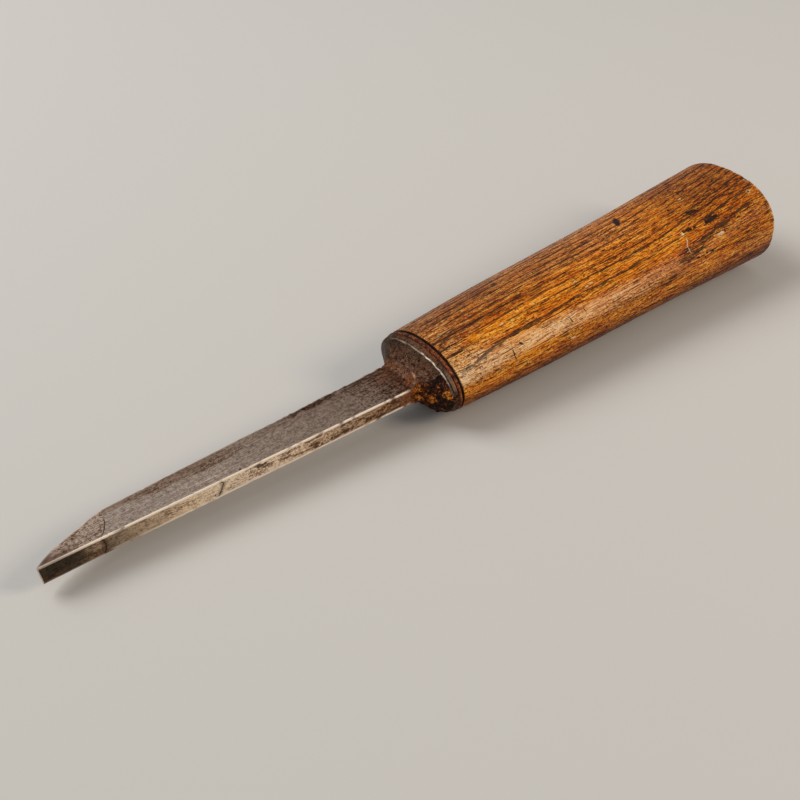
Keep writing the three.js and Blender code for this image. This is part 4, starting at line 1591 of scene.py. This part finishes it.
@dataclass
class HandleWearAndLight:
    """Where dirt and wear lie on the handle, with painted highlight and painted shade, worked out for every
    point of its mesh.

    Numbers beside x are millimetres along the tool, and numbers beside turn are degrees round it, between
    which a kind of wear comes or goes. Turn is 0 at the far side, 90 on top and 180 at the near side.

    Attributes:
        handle: The piece's sizes.
        points: Its points, in the tool's millimetres.
        ridge_along: Places along the tool where the middle of the ridge's painted highlight is given.
        ridge_turns: Degrees of that middle.
        bare_and_highlit_along: Places along the tool where it is given how pale the ridge is painted, as
            handled wood and as highlight.
        bare_and_highlit_shares: How pale it is.
    """

    handle: "Handle"
    points: Points
    ridge_along: tuple[float, ...] = (0.0, 20.0, 37.0, 65.0, 91.0, 130.0)
    ridge_turns: tuple[float, ...] = (155.0, 156.0, 157.0, 161.0, 162.0, 167.0)
    bare_and_highlit_along: tuple[float, ...] = (4.0, 20.0, 60.0, 80.0, 100.0, 120.0)
    bare_and_highlit_shares: tuple[float, ...] = (0.95, 0.9, 0.88, 0.5, 0.35, 0.0)

    def __post_init__(self) -> None:
        """Work out the random fields, and the zones that several kinds of wear share."""
        x, y, z = self.x, self.y, self.z = self.points.T
        self.broad = layered(self.points, (30.0, 12.0, 12.0), 3, 2.0)
        self.fine = layered(self.points, (6.0, 2.0, 2.0), 3, 17.0)
        self.growth = self.handle.growth(self.points)

        # The outside apart from both ends' faces, the striking end with its edge, and the underside.
        half_width, half_height, oval = self.handle.half_axes(x)
        self.reach = (np.abs(y / half_width) ** oval + np.abs(z / half_height) ** oval) ** (1 / oval)
        self.outer = ease(self.reach, 0.75, 0.9)
        self.face = ease(x, self.handle.butt - 0.6, self.handle.butt - 0.1)
        self.edge = ease(x, self.handle.butt - 2.0, self.handle.butt - 0.5) * self.outer
        self.below = ease(z / half_height, -0.35, -0.85)

        # The smooth near side, and the band in front that faces the camera and the front lamp, painted
        # clearer and brighter amber as painted light.
        turn = np.degrees(np.arctan2(z, y))
        self.turn = np.where(turn < -90.0, turn + 360.0, np.abs(turn))
        self.flank = ease(self.turn, 154.0, 166.0) * (1 - self.below)
        self.lit_amber_band = ease(np.abs(self.turn - 128.0), 9.0, 4.0) * ease(x, 8.0, 18.0) * ease(x, 80.0, 60.0)

    def depth(self) -> Values:
        """How far ring lines, dents, the edge's chips and the blows on the striking end go in.

        Returns:
            Millimetres for each point.
        """
        ring = self.growth % 1.0
        line = ease(ring, 0.0, 0.06) * ease(ring, 0.3, 0.1)
        line = line * ease(roughly(self.points, (12.0, 3.0, 3.0), 4.0), -0.5, 0.3)
        relief = 0.05 * self.broad + 0.02 * self.fine + 0.06 * line * (1.0 - 0.7 * self.flank)
        chips = 0.2 * self.edge * np.clip(layered(self.points, (4.0, 2.5, 2.5), 2, 8.0) - 0.1, 0, None)
        struck = self.face * ease(self.reach, 0.97, 0.85) * (0.12 + 0.12 * layered(self.points, 5.0, 3, 6.0))
        return np.clip(0.03 + self.outer * (0.05 + relief) + chips + struck, 0, 0.8)

    def grime_and_shade(self) -> Values:
        """Darker patches on top, at the striking end, on the far side and below the ridge, old dirt on the
        striking face, and painted shade along the underside.

        Returns:
            A share for each point.
        """
        x, turn = self.x, self.turn
        patches = [0.65 * ease(turn, 92.0, 102.0) * ease(turn, 120.0, 108.0) * ease(x, 66.0, 44.0),
                   0.3 * ease(turn, 105.0, 85.0) * ease(x, 8.0, 24.0) * ease(x, 100.0, 60.0),
                   0.6 * ease(turn, 154.0, 114.0) * ease(x, 98.0, 130.0),
                   0.6 * ease(np.abs(turn - 169.0), 6.0, 2.0) * ease(x, 52.0, 64.0) * ease(x, 108.0, 98.0),
                   0.3 * ease(x, 105.0, 135.0),
                   0.6 * ease(turn, 78.0, 64.0) * ease(x, 60.0, 40.0)]
        grime_and_shade = np.maximum.reduce(patches) * (1 - self.face)
        grime_and_shade = grime_and_shade + self.face * (0.45 + 0.5 * layered(self.points, 4.0, 3, 14.0))
        # The underside is painted darker as shade.
        underside = 0.95 * np.maximum(ease(turn, 174.0, 193.0), self.below)
        grime_and_shade = np.maximum(grime_and_shade * (1 - self.lit_amber_band), underside)
        return grime_and_shade + 0.15 * self.broad * (1 - self.lit_amber_band)

    def dried_and_lit(self) -> Values:
        """Greyer, drier wood in front and on the far side; in front it also makes the ridge's painted
        highlight paler.

        Returns:
            A share for each point, below zero in the band facing the camera, painted clear amber as painted
            light.
        """
        x, turn = self.x, self.turn
        front = 0.75 * ease(x, 30.0, 8.0) * ease(turn, 174.0, 167.0)
        far_side = 0.4 * ease(turn, 104.0, 86.0) * ease(x, 112.0, 84.0)
        dried_and_lit = np.maximum(front, far_side) * (0.8 + 0.4 * self.fine) * (1 - self.below)
        return dried_and_lit * (1 - 0.7 * self.lit_amber_band) - 0.34 * self.lit_amber_band

    def lined(self) -> Values:
        """How plainly the growth rings show: less on the near side and in the band painted bright where it
        faces the camera.
        """
        return (1.0 - 0.75 * self.flank) * (1.0 - 0.5 * self.lit_amber_band)

    def wear_and_light(self) -> Values:
        """Paler wood: the striking end's chipped edge, and along the ridge that the hand has polished, a
        band that is partly handled wood and partly a painted highlight.

        Returns:
            A share for each point.
        """
        start = self.handle.butt - 1.9
        chipped = self.edge * ease(self.x, start, start + 0.9) * ease(self.reach, 0.95, 0.98)
        chipped = chipped * ease(self.fine, -0.6, 0.1)
        middle = np.interp(self.x, self.ridge_along, self.ridge_turns)
        widened = np.interp(self.x, (8.0, 30.0), (5.0, 0.0))
        ridge = ease(np.abs(self.turn - middle) - widened, 11.0, 3.0) * self.outer
        ridge = ridge * np.interp(self.x, self.bare_and_highlit_along, self.bare_and_highlit_shares)
        return np.maximum(chipped, ridge * (1.0 + 0.3 * self.fine))


@dataclass
class Handle:
    """The oval wooden handle, waisted on its flatter faces and flared at the striking end."""

    front: float = 3.4
    length: float = 146.6
    front_width: float = 37.6
    front_height: float = 24.2
    butt_width: float = 45.1
    butt_height: float = 34.2
    butt_oval: float = 2.3
    front_ease: float = 0.3
    butt_ease: float = 1.0
    corner: tuple[float, float] = (0.35, 0.3)
    along_shares: tuple[float, ...] = (0, 0.2, 0.42, 0.62, 0.8, 1)
    width_shares: tuple[float, ...] = (0, 0.41, 0.64, 0.81, 0.97, 1)
    height_shares: tuple[float, ...] = (0, 0.16, 0.24, 0.33, 0.59, 1)
    hole_depth: float = 80.4
    hole_mouth: tuple[float, float] = (10.0, 6.1)
    hole_end: tuple[float, float] = (3.4, 3.0)
    hole_oval: float = 8.0
    hole_steps: int = 4
    skin: float = 0.04
    sides: int = 64
    steps: int = 64
    front_shrinks: tuple[float, ...] = (0.55, 0.8, 0.97, 1.0)
    butt_shrinks: tuple[float, ...] = (1.0, 0.97, 0.9, 0.8, 0.68, 0.55, 0.42, 0.3, 0.18, 0.08)
    pith: tuple[float, float] = (30.0, -31.0)
    pith_drift: float = 0.015
    pith_from: float = 45.0
    ring_radii: tuple[float, ...] = (0.0, 16.0, 20.0, 23.0, 25.5, 27.6, 29.5, 31.4, 33.4, 35.2, 37.1, 39.2,
                                     41.0, 42.7, 44.6, 46.3, 48.3, 50.2, 52.0, 53.4, 55.1, 56.9, 58.1, 59.8,
                                     61.7, 63.4, 65.4, 67.2, 80.0)
    marks: tuple[Mark, ...] = (
        Mark(MarkKind.HOLE, 40.2, 54, 2.2, 1.4),
        Mark(MarkKind.HOLE, 80.3, 102, 1.6, 0.9),
        Mark(MarkKind.STAIN, 51.6, 100, 2.6, 0.8),
        Mark(MarkKind.FLECK, 27.6, 129, 1.8, 0.7, 15),
        Mark(MarkKind.FLECK, 60.6, 125, 1.5, 0.5),
        Mark(MarkKind.FLECK, 62.9, 137, 1.6, 0.5),
        Mark(MarkKind.FLECK, 65.3, 136, 2.2, 0.5),
        Mark(MarkKind.SCRATCH, 56.7, 157, 2.2, 0.45, -87),
        Mark(MarkKind.SCRATCH, 50.1, 159, 2.5, 0.5, -79),
        Mark(MarkKind.SCRATCH, 25.1, 163, 4.0, 0.5, -91),
        Mark(MarkKind.SCRATCH, 29.2, 157, 2.0, 0.7, -40),
        Mark(MarkKind.FLECK, 49.0, 175, 2.4, 0.6),
        Mark(MarkKind.HOLE, 97.1, 62, 7.0, 2.5, 57),
        Mark(MarkKind.STAIN, 106.0, 97, 1.6, 0.7),
        Mark(MarkKind.HOLE, 114.3, 95, 1.2, 0.6),
        Mark(MarkKind.FLECK, 122.4, 88, 1.7, 0.7),
        Mark(MarkKind.STAIN, 119.9, 117, 6.5, 2.2, -7),
        Mark(MarkKind.STAIN, 123.1, 136, 8.0, 2.8),
        Mark(MarkKind.STAIN, 112.8, 135, 6.0, 1.7, -7),
        Mark(MarkKind.FLECK, 109.2, 136, 1.5, 1.1),
        Mark(MarkKind.FLECK, 123.1, 153, 3.6, 1.0),
        Mark(MarkKind.FLECK, 108.4, 146, 4.0, 0.4, -128),
        Mark(MarkKind.FLECK, 107.3, 153, 3.4, 0.4, -92),
        Mark(MarkKind.FLECK, 148.6, 115, 2.0, 1.7, 0, 0.5),
        Mark(MarkKind.HOLE, 148.6, 115, 1.2, 1.1),
        Mark(MarkKind.FLECK, 144.9, 129, 1.9, 1.7, 0, 0.5),
        Mark(MarkKind.HOLE, 144.9, 129, 1.1, 1.0),
        Mark(MarkKind.HOLE, 109.5, 163, 1.5, 0.8),
        Mark(MarkKind.STAIN, 116.2, 163, 4.0, 1.0, -6),
        Mark(MarkKind.STAIN, 11.5, 154, 8.0, 1.0, 0, 0.5),
        Mark(MarkKind.STAIN, 17.0, 157, 7.0, 0.8, 0, 0.4),
        Mark(MarkKind.STAIN, 20.0, 150, 9.0, 0.6, 0, 0.5),
    )

    @property
    def butt(self) -> float:
        """X of the striking end."""
        return self.front + self.length

    def half_axes(self, x: Values | float) -> tuple[Values, Values, Values]:
        """Measure the section at x.

        Args:
            x: Place along the tool.

        Returns:
            Half its width, half its height and its roundness.
        """
        share = np.clip((x - self.front) / self.length, 0, 1)
        width = through(share, self.along_shares, self.width_shares)
        height = through(share, self.along_shares, self.height_shares)
        full_width = self.front_width + (self.butt_width - self.front_width) * width
        full_height = self.front_height + (self.butt_height - self.front_height) * height
        return full_width / 2 - self.skin, full_height / 2 - self.skin, 2 + (self.butt_oval - 2) * share

    def _ring(self, x: float, inset: float = 0.0, shrink: float = 1.0) -> Points:
        """The oval section at x, drawn in by a distance and by a factor.

        Args:
            x: Place along the tool.
            inset: The distance.
            shrink: The factor.

        Returns:
            The section's points.
        """
        half_width, half_height, oval = (float(value) for value in self.half_axes(x))
        turn = 2 * math.pi * np.arange(self.sides) / self.sides
        across = np.sign(np.cos(turn)) * np.abs(np.cos(turn)) ** (2 / oval) * (half_width - inset) * shrink
        up = np.sign(np.sin(turn)) * np.abs(np.sin(turn)) ** (2 / oval) * (half_height - inset) * shrink
        return np.stack([np.full(self.sides, x), across, up], axis=1)

    def _hole_ring(self, x: float, size: tuple[float, float]) -> Points:
        """The nearly square section of the hole for the tang.

        Args:
            x: Place along the tool.
            size: Its width and height.

        Returns:
            The section's points.
        """
        turn = 2 * math.pi * np.arange(self.sides) / self.sides
        flat = superellipse(np.stack([np.cos(turn), np.sin(turn)], axis=1), self.hole_oval)
        flat = flat * (size[0] / 2, size[1] / 2)
        return np.stack([np.full(self.sides, x), flat[:, 0], flat[:, 1]], axis=1)

    def surface(self, x: float, angle: float) -> tuple[Vector, float]:
        """Find the surface's point at x in a direction.

        Args:
            x: Place along the tool.
            angle: The direction, in degrees from +Y over +Z.

        Returns:
            The point, and the direction that the surface faces there.
        """
        half_width, half_height, oval = (float(value) for value in self.half_axes(x))
        cos, sin = math.cos(math.radians(angle)), math.sin(math.radians(angle))
        reach = (abs(cos / half_width) ** oval + abs(sin / half_height) ** oval) ** (-1 / oval)
        facing = math.atan2(sin / half_height ** 2, cos / half_width ** 2)
        return Vector((x, reach * cos, reach * sin)), math.degrees(facing)

    def mesh(self) -> Object:
        """Model the handle from the bottom of its hole over the front face back to the striking end.

        Returns:
            The object, in the tool's millimetres.
        """
        rings = []
        for step in range(self.hole_steps + 1):
            share = step / self.hole_steps
            size = tuple(end + (mouth - end) * share for end, mouth in zip(self.hole_end, self.hole_mouth))
            rings.append(self._hole_ring(self.front + self.hole_depth * (1 - share), size))
        rings += [self._ring(self.front, self.front_ease, shrink) for shrink in self.front_shrinks]
        along, inset = self.corner
        rings.append(self._ring(self.front + self.front_ease * along, self.front_ease * inset))
        start, end = self.front + self.front_ease, self.butt - self.butt_ease
        rings += [self._ring(start + (end - start) * step / self.steps) for step in range(self.steps + 1)]
        rings.append(self._ring(self.butt - self.butt_ease * along, self.butt_ease * inset))
        rings += [self._ring(self.butt, self.butt_ease, shrink) for shrink in self.butt_shrinks]
        obj = Loft("handle", rings[0]).extrude_to(rings[1:]).finish()
        self._wear_and_light(obj)
        return obj

    def growth(self, points: Points) -> Values:
        """Count of growth rings from the pith, which lies outside the handle and a little out of line.

        Args:
            points: Places in millimetres.

        Returns:
            Rings, and the share of the next one, for each point.
        """
        x, y, z = points.T
        radius = np.hypot(y - self.pith[0], z - self.pith[1]) - self.pith_drift * (x - self.pith_from)
        radius = radius + 0.4 * roughly(points, (50.0, 12.0, 12.0), 3.0)
        radius = radius + 0.15 * roughly(points, (14.0, 4.0, 4.0), 9.0)
        return np.interp(radius, self.ring_radii, np.arange(len(self.ring_radii)))

    def _wear_and_light(self, obj: Object) -> None:
        """Press in ring lines, dents and chips, and paint growth, dirt, paler handled wood with its painted
        highlight, and painted shade.

        Args:
            obj: The handle.
        """
        points, normals = read_mesh(obj)
        wear = HandleWearAndLight(self, points)
        write_points(obj, points - normals * wear.depth()[:, None])
        paint(obj, "growth", wear.growth)
        paint(obj, "grime_and_shade", np.clip(wear.grime_and_shade(), 0, 1))
        paint(obj, "wear_and_light", np.clip(wear.wear_and_light(), 0, 1))
        paint(obj, "dried_and_lit", np.clip(wear.dried_and_lit(), -0.4, 1))
        paint(obj, "lined", np.clip(wear.lined(), 0, 1))
        paint(obj, "end_grain", wear.face)

    def dress(self, obj: Object, tool: ToolFrame, ash: OiledAsh) -> None:
        """Give the handle its finish and its place."""
        marks = [(mark, *self.surface(mark.x, mark.angle)) for mark in self.marks]
        place_piece(obj, tool, "handle", ash.material(tool, marks))


@dataclass
class Studio:
    """Pale floor, soft lamps and the camera at the photograph's angle, in metres."""

    floor_size: float = 6.0
    target: tuple[float, float, float] = (-0.01173, 0.00472, -0.00022)
    camera_back: tuple[float, float, float] = (-0.5021, -0.5847, 0.6372)
    camera_distance: float = 0.42024
    camera_roll: float = 1.75
    lens: float = 58.5
    world_light: float = 0.3

    def floor(self) -> None:
        """Lay the floor."""
        bpy.ops.object.select_all(action="DESELECT")
        bpy.ops.mesh.primitive_plane_add(size=self.floor_size)
        floor = bpy.context.active_object
        floor.name = floor.data.name = "floor"
        floor.data.materials.append(PalePaint().material())

    def lamp(self, name: str, direction: Sequence[float], distance: float, size: float, level: float,
             colour: str = "#ffffff") -> None:
        """Hang a soft square lamp that looks at the tool.

        Args:
            name: Its name.
            direction: From the tool towards the lamp.
            distance: How far off it hangs.
            size: Its side.
            level: The light that it gives a white surface facing it, where 1 is white.
            colour: Its colour.
        """
        light = bpy.data.lights.new(name, "AREA")
        light.shape = "SQUARE"
        light.size = size
        light.energy = level * (math.pi * distance) ** 2
        light.color = linear(colour)[:3]
        lamp = bpy.data.objects.new(name, light)
        bpy.context.scene.collection.objects.link(lamp)
        towards = Vector(direction).normalized()
        lamp.location = Vector(self.target) + towards * distance
        lamp.rotation_euler = towards.to_track_quat("Z", "Y").to_euler()

    def camera(self) -> None:
        """Stand the camera where the photograph was taken from."""
        data = bpy.data.cameras.new("camera")
        data.lens = self.lens
        data.clip_start = 0.01
        camera = bpy.data.objects.new("camera", data)
        bpy.context.scene.collection.objects.link(camera)
        back = Vector(self.camera_back).normalized()
        camera.location = Vector(self.target) + back * self.camera_distance
        level = back.to_track_quat("Z", "Y").to_matrix()
        camera.rotation_euler = (level @ Matrix.Rotation(math.radians(self.camera_roll), 3, "Z")).to_euler()
        bpy.context.scene.camera = camera

    def build(self) -> None:
        """Set up floor, lamps, world and camera."""
        self.floor()
        self.lamp("key_behind_left", (-0.5, 0.6, 0.85), 1.2, 0.7, 0.62)
        self.lamp("fill_front_right", (0.50, -0.64, 0.60), 1.0, 0.32, 0.3, "#ffeeda")
        world = bpy.data.worlds.new("studio")
        world.use_nodes = True
        background = world.node_tree.nodes["Background"]
        background.inputs["Color"].default_value = (1.0, 1.0, 1.0, 1.0)
        background.inputs["Strength"].default_value = self.world_light
        bpy.context.scene.world = world
        bpy.context.scene.view_settings.view_transform = "Standard"
        self.camera()


def main() -> None:
    """Build the chisel's pieces in order, dress them and report each."""
    logging.basicConfig(level=logging.INFO, format="%(name)s %(message)s")
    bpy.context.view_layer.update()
    handle = Handle()
    tool = ToolFrame.from_record(frame["record"], handle.butt)
    Studio().build()
    pieces: list[tuple[Any, Any]] = [(Forging(), OldIron()),
                                     (SteelTip(), OldIron(name="cast_steel_honed_patinated")),
                                     (Washer(), WasherLeather()), (handle, OiledAsh())]
    for piece, finish in pieces:
        obj = piece.mesh()
        piece.dress(obj, tool, finish)
        LOG.info("%s has %d faces", obj.name, len(obj.data.polygons))


if __name__ == "__main__":
    main()
